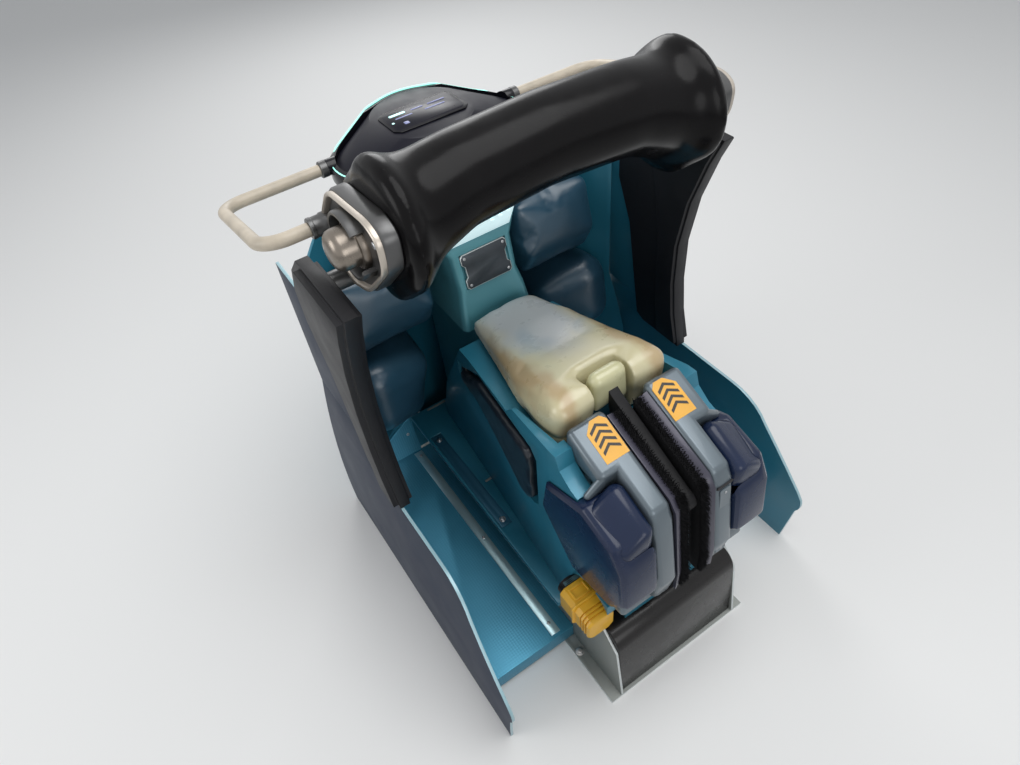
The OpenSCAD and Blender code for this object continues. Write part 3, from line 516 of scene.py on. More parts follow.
# the silver painted highlight lies in an oval round the top's middle, with patches of painted
# bluish reflection in it, and the brown lies in a band along each flank
wander = blend_of("MULTIPLY", blend_of("SUBTRACT", cloud, 0.5), 0.09)
side_way = blend_of("ADD", blend_of("ABSOLUTE", where.outputs["X"], 0), wander)
from_middle = blend_of("ABSOLUTE", blend_of("SUBTRACT", where.outputs["Y"], highlight_middle_y), 0)
along = blend_of("MULTIPLY", from_middle, highlight_long)
reach = blend_of("POWER", blend_of("ADD", blend_of("POWER", side_way, 2), blend_of("POWER", along, 2)), 0.5)
from_flank = blend_of("ABSOLUTE", blend_of("SUBTRACT", side_way, flank_x), 0)
flank = blend_of("MULTIPLY", fade(from_flank, 0.004, 0.030), 0.55)
browned = coat_of(cream_drift, (0.38, 0.215, 0.085), flank)
# painted highlight: a silver oval over the top's middle, where the light falls on the cover
highlighted = coat_of(browned, (0.47, 0.50, 0.52), blend_of("MULTIPLY", fade(reach, 0.045, 0.105), 0.92))
# painted reflection: soft bluish patches in the silver highlight
clouded = fade(blend_of("SUBTRACT", 1.0, noise(t, place, 9, 1)), 0.36, 0.46)
patches = blend_of("MULTIPLY", clouded, fade(reach, 0.060, 0.110))
painted_reflections = coat_of(highlighted, (0.20, 0.28, 0.36), blend_of("MULTIPLY", patches, 0.36))
t.links.new(painted_reflections, shader.inputs["Base Color"])
low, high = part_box("saddle")
saddle = stuffed("saddle", "saddle_cover", voxel=0.0045, thin=0.003, soften=6, cap=0.006,
                 floor_z=low.z + 0.0002, settle=12)
seam_z, seam_front, seam_rise, seam_x = 0.566, 0.145, 0.050, 0.06

def from_seam(point):
    """How far a point of the saddle's side is above the seam, which climbs a little to the rear."""
    return point.z - (seam_z + (seam_front - point.y) * seam_rise) if abs(point.x) > seam_x else 1

groove(saddle, from_seam, width=0.0030, depth=0.0026)
dress(saddle, saddle_cream)

# Back restraint: a small cream pad, arched over the notch, on a black painted arm that lifts
# about the pin. The arm is a flat bar with a round hub, and the pin is turned steel.
cream = vinyl("cream_vinyl", (0.57, 0.55, 0.33), 0.30, pore_scale=900, pore=0.08, coat=0.30, mottle=0.07)
pad = stuffed("restraint_pad", "restraint_pad_cover", voxel=0.003, thin=0.0008, soften=3, cap=0.003,
              body="back_restraint")
dress(pad, cream)
black_paint = finish("black_paint", (0.008, 0.008, 0.009), 0.55, mottle=0.25, mottle_scale=14,
                     grain=0.08, shine=0.2)
dress(sheet_of("restraint_arm", "restraint_arm_bar", 0.0014), black_paint)
pin_steel = finish("pin_steel", (0.55, 0.55, 0.56), 0.25, metal=1.0, mottle=0.06, mottle_scale=60)
dress(sheet_of("restraint_pin", "restraint_pin_turned", 0.0008), pin_steel)

# Brush strips: rows of black bristles set in a strip on each side of the arm, which close
# the slot and let the arm pass. A sloping grey trim covers each strip's screws.
both_sides = (("left", -1), ("right", 1))
fibre = finish("brush_fibre", (0.007, 0.007, 0.008), 0.85, mottle=0.5, mottle_scale=240, grain=0.6,
               grain_scale=500, shine=0.2)
for side, sx in both_sides:
    dress(sheet_of("brush_" + side, "brush_strip_" + side, 0.0015), fibre)

def tufts(name, along, x_in, x_out, rows, per_row, long, inward, sx):
    """Bristles standing out of a strip: slim four-sided pyramids, each turned and leaned a little."""
    bpy.ops.object.select_all(action="DESELECT")
    bpy.ops.mesh.primitive_cone_add(vertices=4, radius1=0.0011, radius2=0.0003, depth=long,
                                    location=(0, 0, long / 2))
    hair = bpy.context.object
    hair.name = name
    bpy.ops.object.transform_apply(location=True, rotation=True, scale=True)
    seed = hair.data.copy()
    hair.data.clear_geometry()
    copies = []
    for row in range(rows):
        for k in range(per_row):
            t = (k + 0.5 * (row % 2) + 0.25) / per_row * (len(along) - 1)
            i = min(int(t), len(along) - 2)
            a, b = Vector((0,) + along[i]), Vector((0,) + along[i + 1])
            spot = a.lerp(b, t - i)
            out = Vector((0, (b - a).z, -(b - a).y)).normalized()
            spot.x = sx * (x_in + (x_out - x_in) * (row + 0.5) / rows)
            wave = math.sin(k * 12.9898 + row * 78.233) * 43758.5453
            lean_a, lean_b = (wave % 1 - 0.5) * 0.7, ((wave * 7.31) % 1 - 0.5) * 0.7
            aside = Vector((lean_a * 0.6 - sx * inward, 0, 0))
            aim = (out + aside + (b - a).normalized() * lean_b).normalized()
            one = bpy.data.objects.new("tuft", seed.copy())
            one.data.transform(Matrix.Translation(spot) @ aim.to_track_quat("Z", "Y").to_matrix().to_4x4())
            bpy.context.scene.collection.objects.link(one)
            copies.append(one)
    return joined([hair] + copies)

def along_line(line, section):
    """Rings of a section (x, height) carried along a bent line (y, z), square to it at each point."""
    rings = []
    for i, (y, z) in enumerate(line):
        ahead, behind = Vector(line[min(i + 1, len(line) - 1)]), Vector(line[max(i - 1, 0)])
        run = (ahead - behind).normalized()
        rings.append([(x, y + run.y * h, z - run.x * h) for x, h in section])
    return rings

brush_line = [(-0.254, 0.623), (-0.330, 0.593), (-0.412, 0.561), (-0.426, 0.543), (-0.438, 0.462),
              (-0.450, 0.380), (-0.450, 0.330)]
trim_profile = ((0.0435, 0.0066), (0.0435, -0.003), (0.0285, -0.003), (0.0285, 0.0004), (0.0300, 0.0018),
                (0.0420, 0.0068))
trim_grey = finish("slot_trim", (0.052, 0.050, 0.072), 0.36, metal=0.2, coat=0.15, mottle_scale=8,
                   shine=0.35)
for side, sx in both_sides:
    bristles = tufts("bristles_" + side, brush_line, x_in=0.0136, x_out=0.0330, rows=7, per_row=120,
                     long=0.010, inward=0.10, sx=sx)
    bristles.data.materials.clear()
    mount(bristles, fibre)
    trim = lofted("slot_trim_" + side, along_line(brush_line, [(sx * x, h) for x, h in trim_profile]))
    mount(trim, trim_grey)

# Pods: steel grey painted housings on both sides of the slot, moulded with soft edges. Navy
# gloss side housings, each with a rounded shoulder let in, are clipped over their flanks.
silver = finish("pod_silver", (0.120, 0.150, 0.172), 0.34, metal=0.45, coat=0.20, mottle=0.08,
                mottle_scale=5, grain=0.04, grain_scale=1500)
navy_gloss = finish("navy_gloss", (0.008, 0.017, 0.050), 0.26, coat=0.12, mottle=0.14, rub=0.06, shine=0.28)
pods = {}
for side in ("left", "right"):
    pod = sheet_of("pod_" + side, "pod_housing_" + side, 0.0)
    dress(pod, silver)
    pods[side] = pod
    dress(sheet_of("pod_cap_" + side, "pod_shoulder_" + side, 0.0), navy_gloss)
    panel = sheet_of("pod_panel_" + side, "pod_side_housing_" + side, 0.0016, turn=24)
    dress(panel, navy_gloss)

# Slide plate: a silver strip with a long slot on the right pod's rear face, with a dark
# joint above it, where the pod opens for service. It is held by two small screws.
slide_x, slide_top, slide_foot = 0.066, 0.528, 0.350

def touch(piece, start, aim):
    """Where a straight line from start along aim meets a piece, and which way the surface faces there."""
    bpy.context.view_layer.update()
    met, spot, facing, _ = piece.ray_cast(Vector(start), Vector(aim).normalized())
    if not met:
        raise ValueError(f"{piece.name} isn't met from {tuple(start)}")
    return spot, facing

slide_face = [touch(pods["right"], (slide_x, -0.7, z), (0, 1, 0))[0] for z in (slide_top, slide_foot)]
run = (slide_face[1] - slide_face[0]).normalized()
face_out = Vector((0, run.z, -run.y))
slide_long = (slide_face[1] - slide_face[0]).length

def on_slide(x, down, rise):
    """A point on the plate: x across, down along it from its top, rise out of the pod."""
    return slide_face[0] + Vector((x, 0, 0)) + run * down + face_out * rise

def cut_corners(x0, x1, y0, y1, cut):
    """A rectangle's outline with its corners cut."""
    return [(x0 + cut, y0), (x1 - cut, y0), (x1, y0 + cut), (x1, y1 - cut),
            (x1 - cut, y1), (x0 + cut, y1), (x0, y1 - cut), (x0, y0 + cut)]

def plate_ring(half, top, foot, rise, cut=0.003):
    """The outline of a flat bar on the pod's rear face, with its corners cut."""
    return [on_slide(x, down, rise) for x, down in cut_corners(-half, half, top, foot, cut)]

slide_half, slide_edge = 0.0125, 0.001
slide = lofted("slide_plate", [
    plate_ring(slide_half, 0, slide_long, -0.002), plate_ring(slide_half, 0, slide_long, 0.0022),
    plate_ring(slide_half - slide_edge, slide_edge, slide_long - slide_edge, 0.0032)], turn=20)
mount(slide, silver)
dark_joint_and_slot_shade = finish("dark_joint_and_slot_shade", (0.008, 0.008, 0.010), 0.7, mottle=0.3, mottle_scale=60)
# the slot isn't cut: a dark sheet stands in it as painted shade for its depth
slot_line = [(-0.0026, 0.070), (0.0026, 0.070), (0.0026, 0.128), (-0.0026, 0.128)]
slot = lofted("slide_slot_shade", [[on_slide(x, down, rise) for x, down in slot_line] for rise in (0.001, 0.0036)])
mount(slot, dark_joint_and_slot_shade)
joint = lofted("slide_joint", [plate_ring(0.0190, -0.009, -0.003, rise) for rise in (-0.001, 0.0010)])
mount(joint, dark_joint_and_slot_shade)
for i, down in enumerate((0.010, slide_long - 0.010)):
    screw(f"slide_screw_{i + 1}", on_slide(0, down, 0.0036), face_out, 0.0026)

# Yellow labels: thin plates stuck on the pods' sloping tops, two corners cut away, with
# plain black chevrons that point forwards. The lower part of each is left bare.
label_yellow = finish("label_yellow", (0.80, 0.40, 0.030), 0.42, coat=0.1, mottle=0.06, mottle_scale=30)
chevron_black = finish("chevron_black", (0.018, 0.016, 0.014), 0.5, mottle=0.2, mottle_scale=60)
label_half, label_front, label_rear = 0.0235, 0.040, -0.036
label_line = [(-label_half, label_rear), (label_half, label_rear), (label_half, label_front - 0.010),
              (label_half - 0.009, label_front), (-label_half + 0.018, label_front),
              (-label_half, label_front - 0.018)]
chevron_line = [(-0.0175, -0.0035), (0, 0.0070), (0.0175, -0.0035), (0.0175, -0.0095), (0, 0.0012),
                (-0.0175, -0.0095)]
chevron_front, chevron_step = 0.0255, 0.0128
for side, sx in both_sides:
    spot, facing = touch(pods[side], (sx * 0.070, -0.290, 1.0), (0, 0, -1))
    ahead = (Vector((1, 0, 0)).cross(facing) * -1).normalized()
    seat = Matrix((Vector((-sx, 0, 0)), ahead, facing)).transposed().to_4x4()
    to_top = Matrix.Translation(spot + Vector((sx * 0.0035, 0, 0))) @ seat
    rings = [[to_top @ Vector((x, y, h)) for x, y in label_line] for h in (-0.0012, 0.0005)]
    mount(lofted("yellow_label_" + side, rings), label_yellow)
    marks = []
    for k in range(4):
        shift = chevron_front - k * chevron_step
        rings = [[to_top @ Vector((x, y + shift, h)) for x, y in chevron_line] for h in (0.0003, 0.0008)]
        marks.append(lofted(f"chevron_{side}_{k}", rings))
    chevrons = joined(marks)
    chevrons.name = "chevrons_" + side
    mount(chevrons, chevron_black)

# Calf gates: paddles of black skinned foam on a steel core, rounded all round, which swing
# out behind the rider's calves. Their knuckles turn on plain pins set in the spine.
gate_skin = vinyl("gate_skin", (0.009, 0.013, 0.020), 0.34, pore_scale=700, pore=0.10, coat=0.15,
                  mottle=0.2, shine=0.35)
for side in ("left", "right"):
    gate = stuffed("calf_gate_" + side, "calf_paddle_" + side, voxel=0.0030, thin=0.0012, soften=10,
                   cap=0.0022, body="gate_" + side, settle=18)
    dress(gate, gate_skin)
    dress(sheet_of("gate_pin_" + side, "gate_pin_turned_" + side, 0.0006), pin_steel)

# Footwells: treads of blue teal sheet pressed with a fine grip pattern, each with a bright
# strip screwed along its inner edge, and a kick plate that slopes down outwards.
tread_teal = finish("tread_teal", (0.058, 0.275, 0.410), 0.36, metal=0.45, mottle_scale=5, rub=0.08)
t = tread_teal.node_tree
spots = t.nodes.new("ShaderNodeTexVoronoi")
spots.inputs["Scale"].default_value = 170
spots.inputs["Randomness"].default_value = 0.0
place = t.nodes.new("ShaderNodeTexCoord")
t.links.new(place.outputs["Object"], spots.inputs["Vector"])
press = relief(t, spots.outputs["Distance"], 0.6, 0.0009)
t.links.new(press.outputs["Normal"], t.nodes["Principled BSDF"].inputs["Normal"])
strip_metal = finish("strip_metal", (0.40, 0.56, 0.60), 0.32, metal=0.6, mottle=0.05)
tread_z, strip_in, strip_out = 0.0500, 0.1895, 0.2120

def bar_rings(x0, x1, y0, y1, heights):
    """The outline of a flat bar at each height: (height, how far its edges are drawn in there)."""
    return [[(x0 + d, y0 + d, h), (x1 - d, y0 + d, h), (x1 - d, y1 - d, h), (x0 + d, y1 - d, h)]
            for h, d in heights]

for side, sx in both_sides:
    dress(sheet_of("footwell_" + side, "footwell_sheet_" + side, 0.0008), tread_teal)
    x0, x1 = sorted((sx * strip_in, sx * strip_out))
    heights = ((tread_z - 0.001, 0), (tread_z + 0.0016, 0), (tread_z + 0.0022, 0.0008))
    strip = lofted("tread_strip_" + side, bar_rings(x0, x1, -0.292, 0.322, heights))
    mount(strip, strip_metal)
    for i, y in enumerate((-0.265, -0.002, 0.306)):
        spot = (sx * (strip_in + strip_out) / 2, y, tread_z + 0.0032)
        screw(f"tread_screw_{side}_{i + 1}", spot, (0, 0, 1), 0.0042)
    screw("kick_screw_" + side, (sx * 0.206, 0.3475, 0.106), (0, -0.945, 0.326), 0.0042)
    # the sill's moulded nose, which closes the corner ahead of it
    x0, x1 = sorted((sx * 0.1612, sx * 0.1858))
    heights = ((0.052, 0.001), (0.150, 0), (0.1565, 0.002), (0.1595, 0.006))
    mount(lofted("sill_nose_" + side, bar_rings(x0, x1, 0.3505, 0.3820, heights)), teal)

# Shell feet: short teal sheets under the front shell, bolted ahead of the kick plates, which
# close the corner between each kick plate, the tread and the wing.
def kick_y(z):
    """Where the kick plate's front face stands at height z, a hair ahead of it."""
    return 0.3353 + (z - 0.046) * 0.304

foot_low, foot_high, foot_thick, under_sill = 0.0505, 0.160, 0.0025, 0.1472
# stations across the sheet: x, the top's height, and y at the bottom and at the top
stations = [(x, top, kick_y(foot_low), kick_y(top)) for x, top in (
    (0.1612, under_sill), (0.1866, under_sill), (0.1872, foot_high), (0.3445, foot_high))]
stations += [(0.3640, foot_high, 0.3350, 0.3440), (0.3843, foot_high, 0.3312, 0.3312)]
for side, sx in both_sides:
    rings = []
    for x, top, low_y, high_y in stations:
        rings.append([(sx * x, low_y, foot_low), (sx * x, high_y, top),
                      (sx * x, high_y + foot_thick, top), (sx * x, low_y + foot_thick, foot_low)])
    mount(lofted("shell_foot_" + side, rings), teal)

# Sills: moulded teal rails bolted on the side plates, each with a darker cover plate let
# into its top and held by two socket screws on washers.
cover_paint = finish("cover_paint", (0.020, 0.105, 0.170), 0.40, metal=0.35, mottle=0.12, mottle_scale=8)

def circle(middle, radius, first, second, sides):
    """Points round a middle, in the plane of the two directions first and second."""
    middle, first, second = Vector(middle), Vector(first), Vector(second)
    angles = [a * math.tau / sides for a in range(sides)]
    return [middle + first * radius * math.cos(a) + second * radius * math.sin(a) for a in angles]

for side, sx in both_sides:
    dress(sheet_of("sill_" + side, "sill_rail_" + side, 0.0022), teal)
    dress(sheet_of("cover_plate_" + side, "cover_sheet_" + side, 0.0007), cover_paint)
    low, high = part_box("cover_plate_" + side)
    for i, y in enumerate((low.y + 0.018, high.y - 0.018)):
        middle = (low.x + high.x) / 2
        rings = [circle((middle, y, high.z + h), r, (1, 0, 0), (0, 1, 0), 32)
                 for r, h in ((0.0076, -0.0006), (0.0076, 0.0006), (0.0070, 0.0011))]
        mount(lofted(f"cover_washer_{side}_{i + 1}", rings), screw_steel)
        screw(f"cover_screw_{side}_{i + 1}", (middle, y, high.z + 0.0022), (0, 0, 1), 0.0048)

# Wings: thin moulded leg fairings, teal inside and dark navy outside, with a pale painted
# highlight on the rim where the skin turns over. They stand on the floor and lean in as they rise.
wing_navy = finish("wing_navy", (0.006, 0.014, 0.034), 0.48, mottle_scale=3, shine=0.25)
wing_rim_highlight = finish("wing_rim_highlight", (0.30, 0.47, 0.52), 0.36, metal=0.2, coat=0.2, mottle=0.06)
for side, sx in both_sides:
    wing = sheet_of("wing_" + side, "wing_skin_" + side, 0.0014, turn=50)
    for skin in (teal, wing_navy, wing_rim_highlight):
        wing.data.materials.append(skin)
    # faces round the rim get the pale painted highlight, the others teal inside and navy outside
    for face in wing.data.polygons:
        face.material_index = 2 if abs(face.normal.x) < 0.6 else (1 if face.normal.x * sx > 0 else 0)

# Pillars: black grained fairings that carry the ends of the chest pad down to the wings.
# Each is one moulding with thick edges, bolted through the wing's rear edge.
pillar_grain = finish("pillar_grain", (0.008, 0.008, 0.010), 0.50, mottle=0.2, grain=0.22,
                      grain_scale=800, shine=0.28)
for side in ("left", "right"):
    pillar = sheet_of("pillar_" + side, "pillar_fairing_" + side, 0.0025, turn=40, whole=False)
    dress(pillar, pillar_grain)

# Knee and shin pads: two bolsters on each side of the column, of foam in dark navy vinyl.
# They are glued to the front shell, the knee pad above the shin pad.
navy_vinyl = vinyl("navy_vinyl", (0.020, 0.062, 0.100), 0.34, pore_scale=800, pore=0.12, coat=0.25,
                   mottle=0.14)
for side in ("left", "right"):
    for part in ("knee_pad_", "shin_pad_"):
        bolster = stuffed(part + side, part + "cover_" + side, voxel=0.006, thin=0.004, soften=6, cap=0.006)
        dress(bolster, navy_vinyl)

# Chest pad: a long bolster of foam with a smooth black skin, flared into thick rims at both
# ends, bonded to a steel bar that the pillars hold.
pad_vinyl = vinyl("black_vinyl", (0.0040, 0.0036, 0.0040), 0.23, pore_scale=600, pore=0.03, coat=0.03,
                  mottle=0.2, shine=0.10)
chest = stuffed("chest_pad", "chest_bolster", voxel=0.0055, thin=0.0015, soften=6, cap=0.003,
                settle=24)
dress(chest, pad_vinyl)

# End castings: seven-cornered alloy plates bolted on both ends of the chest pad, each with a
# pale raised rim, an open ring round a polished knob, a collar for the handle and a boss below.
cap_alloy = finish("cap_alloy", (0.105, 0.105, 0.105), 0.34, metal=0.75, mottle=0.12, mottle_scale=8,
                   grain=0.08, grain_scale=1100, rub=0.08)
rim_alloy = finish("rim_alloy", (0.50, 0.45, 0.39), 0.36, metal=0.7, mottle=0.08, mottle_scale=12)
knob_polish = finish("knob_polish", (0.230, 0.200, 0.170), 0.30, metal=0.90, mottle=0.12, mottle_scale=20,
                     rub=0.08)
end_in, end_out = 0.2783, 0.3120
end_corners = [(0.097, 0.966), (0.038, 1.036), (-0.096, 1.050), (-0.128, 1.034), (-0.124, 0.980),
               (-0.036, 0.890), (0.034, 0.866), (0.090, 0.900)]
knob_y, knob_z, knob_r = -0.024, 0.976, 0.031

def round_corners(corners, radius, steps=5):
    """An outline with each corner turned by an arc that starts radius metres before it."""
    points = []
    for i, corner in enumerate(corners):
        c = Vector(corner)
        a, b = Vector(corners[i - 1]) - c, Vector(corners[(i + 1) % len(corners)]) - c
        a = a.normalized() * min(radius, a.length * 0.45)
        b = b.normalized() * min(radius, b.length * 0.45)
        for k in range(steps + 1):
            w = k / steps
            points.append(c + a * (1 - w) ** 2 + b * w ** 2)
    return points

end_line = round_corners(end_corners, 0.022)
end_middle = sum(end_line, Vector((0, 0))) / len(end_line)

def end_ring(x, inset, sx):
    """The casting's outline at x, drawn in by inset all round."""
    return [(sx * x, *(p - (p - end_middle).normalized() * inset)) for p in end_line]

def turned(name, centre, steps, sx, sides=48, turn=38):
    """A turned piece with its axis across the seat: steps of (radius, x) round the centre (y, z)."""
    rings = [circle((sx * x, *centre), r, (0, 1, 0), (0, 0, 1), sides) for r, x in steps]
    return lofted(name, rings, turn)

for side, sx in both_sides:
    profile = [(end_in, 0.003), (end_in + 0.003, 0), (end_out - 0.012, 0), (end_out - 0.009, 0.002),
               (end_out - 0.008, 0.008), (end_out - 0.010, 0.012)]
    casting = lofted("end_casting_" + side, [end_ring(x, d, sx) for x, d in profile])
    mount(casting, cap_alloy)
    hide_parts("end_cap_" + side)
    profile = [(-0.012, 0.004), (-0.003, 0.003), (-0.001, 0.004), (0, 0.006), (-0.001, 0.009),
               (-0.003, 0.0105), (-0.012, 0.0115), (-0.012, 0.004)]
    rim = lofted("end_rim_" + side, [end_ring(end_out + h, d, sx) for h, d in profile], open_ends=True)
    mount(rim, rim_alloy)
    profile = [(0.039, -0.012), (0.039, -0.003), (0.037, 0), (knob_r + 0.001, 0.001), (knob_r, 0.003),
               (knob_r, 0.022), (knob_r - 0.0015, 0.028), (knob_r - 0.006, 0.033), (knob_r - 0.013, 0.0362),
               (knob_r - 0.022, 0.0376), (0.002, 0.038)]
    knob = turned("end_knob_" + side, (knob_y, knob_z), [(r, end_out + h) for r, h in profile], sx)
    mount(knob, knob_polish)
    # ring round the knob, open at the rear
    arc = [math.radians(205 + k * 290 / 40 - 360) for k in range(41)]
    profile = [(0.045, -0.011), (0.045, 0.008), (0.0465, 0.011), (0.0505, 0.011), (0.052, 0.008),
               (0.052, -0.011)]
    ring = lofted("end_ring_" + side, [
        [(sx * (end_out + h), knob_y + r * math.cos(a), knob_z + r * math.sin(a)) for r, h in profile]
        for a in arc])
    mount(ring, cap_alloy)
    profile = [(0.0175, -0.012), (0.0175, 0.004), (0.0160, 0.006), (0.0160, 0.019), (0.0168, 0.020),
               (0.0168, 0.0245), (0.0155, 0.026), (0.0118, 0.026)]
    collar = turned("hub_collar_" + side, (0.082, 0.955), [(r, end_out + h) for r, h in profile], sx, 36)
    profile = [(0.016, 0.2786), (0.017, 0.2800), (0.017, 0.3395), (0.0155, 0.3412)]
    boss = turned("end_boss_" + side, (0.062, 0.866), profile, sx, 36)
    for piece in (collar, boss):
        mount(piece, cap_alloy)
    screw("end_screw_" + side, (sx * (end_out - 0.0085), -0.088, 1.005), (sx, 0, 0), 0.0060)
    screw("end_screw_low_" + side, (sx * (end_out - 0.0085), 0.046, 0.898), (sx, 0, 0), 0.0060)

# Handles: bent tube under a rubber grip the colour of pale sand, scuffed by hands, clamped
# at the hub and at the console by grey collars.
handle_beige = finish("handle_beige", (0.52, 0.455, 0.36), 0.46, coat=0.08, mottle=0.16, mottle_scale=26,
                      grain=0.10, grain_scale=1300)
for side, sx in both_sides:
    dress(sheet_of("handle_" + side, "handle_grip_" + side, 0.0), handle_beige)
    profile = [(0.0140, 0.2060), (0.0155, 0.2075), (0.0155, 0.2190), (0.0140, 0.2205), (0.0118, 0.2210)]
    mount(turned("handle_collar_" + side, (0.362, 0.880), profile, sx, 36), cap_alloy)

# Console: a gloss black hood on the column with a dished instrument face. A thin light tube
# is let into the hood's upper rim, and a dark screen with a few lit bars lies in the dish.
console_gloss = finish("console_gloss", (0.005, 0.005, 0.008), 0.20, coat=0.10, mottle=0.2, mottle_scale=4,
                       rub=0.05, shine=0.25)
console_face = finish("console_face", (0.007, 0.007, 0.013), 0.42, mottle=0.15, mottle_scale=8, shine=0.15)
screen_glass = finish("screen_glass", (0.004, 0.004, 0.010), 0.30, mottle_scale=8, shine=0.20)
hood = sheet_of("console_hood", "console_shell", 0.0015, turn=40)
dress(hood, console_gloss)
face = sheet_of("console_panel", "instrument_face", 0.0008)
dress(face, console_face)

def glowing(name, colour, strength):
    """A lamp's pale cover, lit evenly from inside."""
    made = finish(name, colour, 0.35, mottle=0.03)
    shader = made.node_tree.nodes["Principled BSDF"]
    shader.inputs["Emission Color"].default_value = colour + (1,)
    shader.inputs["Emission Strength"].default_value = strength
    return made

tube_glow = glowing("tube_glow", (0.36, 0.90, 0.78), 0.75)
screen_glow = glowing("screen_glow", (0.55, 0.93, 0.90), 0.7)
screen_dim = glowing("screen_dim", (0.20, 0.22, 0.40), 0.25)
# the tube's line in plan runs round three discs (x, y, radius), every two degrees from the right
rim_discs = ((-0.110, 0.332, 0.0895), (0.110, 0.332, 0.0895), (0, 0.354, 0.1095))
corners = []
for k in range(115):
    angle = math.radians(-24 + 2 * k)
    d = Vector((math.cos(angle), math.sin(angle)))
    x, y, r = max(rim_discs, key=lambda disc: disc[0] * d.x + disc[1] * d.y + disc[2])
    corners.append(Vector((x, y)) + d * r)
# it lies on the hood, and at a steady height where it passes over the handles' sockets
socket_z, tube_rise, tube_radius, tube_step = 0.882, 0.0008, 0.0022, 0.004
tube_line = []
for a, b in zip(corners, corners[1:]):
    steps = max(1, round((b - a).length / tube_step))
    for k in range(steps):
        x, y = a.lerp(b, k / steps)
        over_socket = abs(x) > 0.150 and y < 0.395
        z = socket_z if over_socket else touch(hood, (x, y, 1.2), (0, 0, -1))[0].z
        tube_line.append(Vector((x, y, z + tube_rise)))
for _ in range(3):
    middles = [a.lerp(c, 0.5).lerp(b, 0.5) for a, b, c in zip(tube_line, tube_line[1:], tube_line[2:])]
    tube_line = [tube_line[0]] + middles + [tube_line[-1]]
tube_rings = []
for i, spot in enumerate(tube_line):
    run = (tube_line[min(i + 1, len(tube_line) - 1)] - tube_line[max(i - 1, 0)]).normalized()
    side_way = run.cross(Vector((0, 0, 1))).normalized()
    tube_rings.append(circle(spot, tube_radius, side_way, side_way.cross(run), 10))
mount(lofted("rim_light", tube_rings), tube_glow)
dish_z = touch(face, (0, 0.354, 1.2), (0, 0, -1))[0].z

def on_dish(x0, x1, y0, y1, top, cut):
    """Rings of a flat bar with cut corners on the instrument face, which stands top metres out of it."""
    return [[(x, y, dish_z + h) for x, y in cut_corners(x0 + d, x1 - d, y0 + d, y1 - d, cut)]
            for h, d in ((-0.001, 0), (top - 0.0005, 0), (top, 0.0005))]

for name, x0, x1, y0, y1, top, cut, paint in (
        ("screen_frame", -0.080, 0.080, 0.304, 0.392, 0.0030, 0.012, console_gloss),
        ("screen_pane", -0.074, 0.074, 0.310, 0.386, 0.0034, 0.009, screen_glass),
        ("lit_bar", -0.062, -0.028, 0.366, 0.373, 0.0040, 0.0012, screen_glow),
        ("lit_spot", -0.069, -0.064, 0.340, 0.345, 0.0040, 0.0010, screen_glow),
        ("dim_bar_1", -0.056, -0.020, 0.352, 0.3555, 0.0040, 0.0008, screen_dim),
        ("dim_bar_2", -0.016, 0.010, 0.366, 0.3695, 0.0040, 0.0008, screen_dim),
        ("dim_bar_3", 0.020, 0.058, 0.366, 0.3695, 0.0040, 0.0008, screen_dim),
        ("dim_bar_4", -0.050, -0.040, 0.324, 0.334, 0.0040, 0.0010, screen_dim),
        ("dim_bar_5", 0.006, 0.050, 0.350, 0.3535, 0.0040, 0.0008, screen_dim)):
    mount(lofted(name, on_dish(x0, x1, y0, y1, top, cut)), paint)

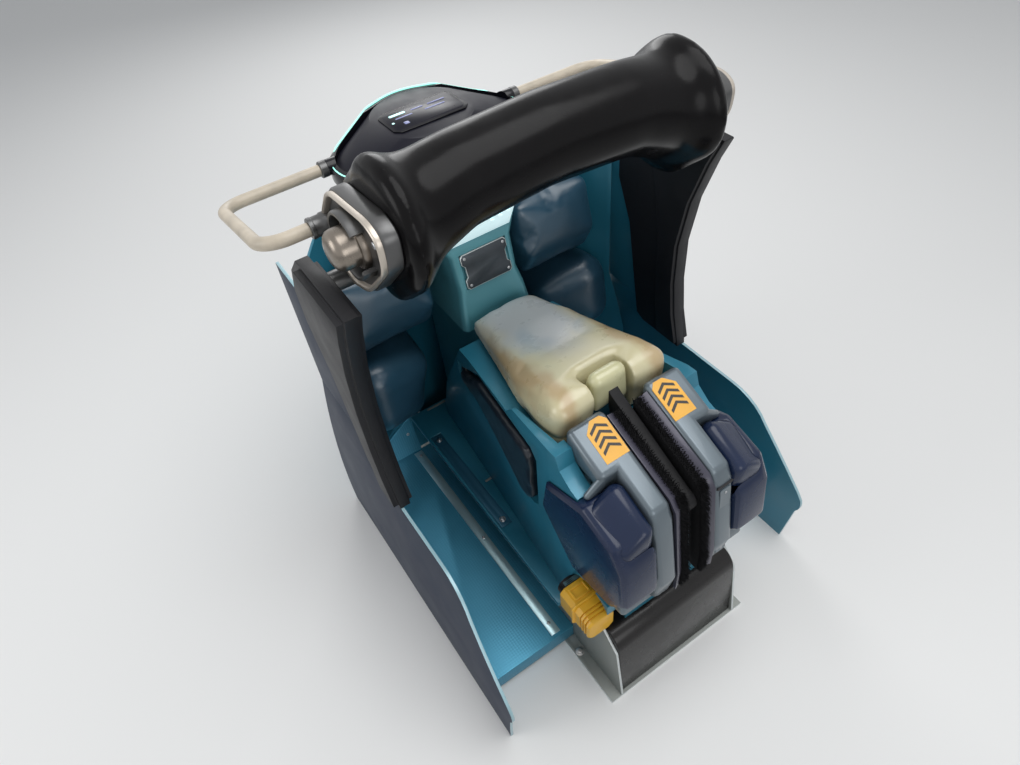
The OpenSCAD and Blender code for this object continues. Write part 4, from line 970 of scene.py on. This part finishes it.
# Power blocks: boxy yellow contact housings on brackets beside the heel box, ribbed at the
# rear end, with a raised frame on top and a dark corrugated hose end behind.
block_yellow = finish("block_yellow", (0.74, 0.40, 0.020), 0.44, coat=0.12, mottle_scale=12, grain=0.10)
hose_black = finish("hose_black", (0.014, 0.014, 0.016), 0.5, mottle=0.2, mottle_scale=20)
bracket_teal = finish("bracket_teal", (0.10, 0.185, 0.205), 0.40, metal=0.3, mottle=0.12, mottle_scale=10)
block_x, block_z = 0.168, 0.246

def block_ring(half, y, sx, cut=0.009):
    """The housing's cross-section at y: a square with cut corners."""
    return [(sx * block_x + u, y, block_z + w) for u, w in cut_corners(-half, half, -half, half, cut)]

for side, sx in both_sides:
    # half widths along the housing from its rear end: three grooves, then a collar and the front end
    steps = [(0.025, -0.4038), (0.028, -0.4025), (0.030, -0.3985)]
    for k in range(3):
        y = -0.3945 + k * 0.008
        steps += [(0.030, y), (0.0272, y + 0.0008), (0.0272, y + 0.0032), (0.030, y + 0.0040)]
    steps += [(0.030, -0.3600), (0.0335, -0.3590), (0.0345, -0.3575), (0.0345, -0.3555), (0.0335, -0.3540),
              (0.0315, -0.3530), (0.0315, -0.3160), (0.0300, -0.3140), (0.0270, -0.3130)]
    block = lofted("contact_housing_" + side, [block_ring(half, y, sx) for half, y in steps], turn=28)
    mount(block, block_yellow)
    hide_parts("power_block_" + side)
    x0, x1 = sx * block_x - 0.018, sx * block_x + 0.018
    profile = [(-0.002, 0), (0.0020, 0), (0.0026, 0.0006), (0.0026, 0.0034), (0.0020, 0.0040),
               (-0.002, 0.0040), (-0.002, 0)]
    rings = bar_rings(x0, x1, -0.3480, -0.3220, [(block_z + 0.0315 + h, d) for h, d in profile])
    mount(lofted("contact_frame_" + side, rings, turn=20, open_ends=True), block_yellow)
    rings = []
    for k in range(19):
        middle = (sx * block_x, -0.3130 + k * 0.0011, block_z)
        rings.append(circle(middle, 0.0222 if k % 3 == 1 else 0.0200, (1, 0, 0), (0, 0, 1), 32))
    mount(lofted("hose_end_" + side, rings), hose_black)
    x0, x1 = sorted((sx * 0.1800, sx * 0.1104))
    z0, z1 = block_z - 0.020, block_z + 0.020
    bracket = lofted("contact_bracket_" + side, [
        [(x0 + d, y, z0 + d), (x1 - d, y, z0 + d), (x1 - d, y, z1 - d), (x0 + d, y, z1 - d)]
        for y, d in ((-0.3088, 0.0015), (-0.3075, 0), (-0.2993, 0), (-0.2980, 0.0015))])
    mount(bracket, bracket_teal)
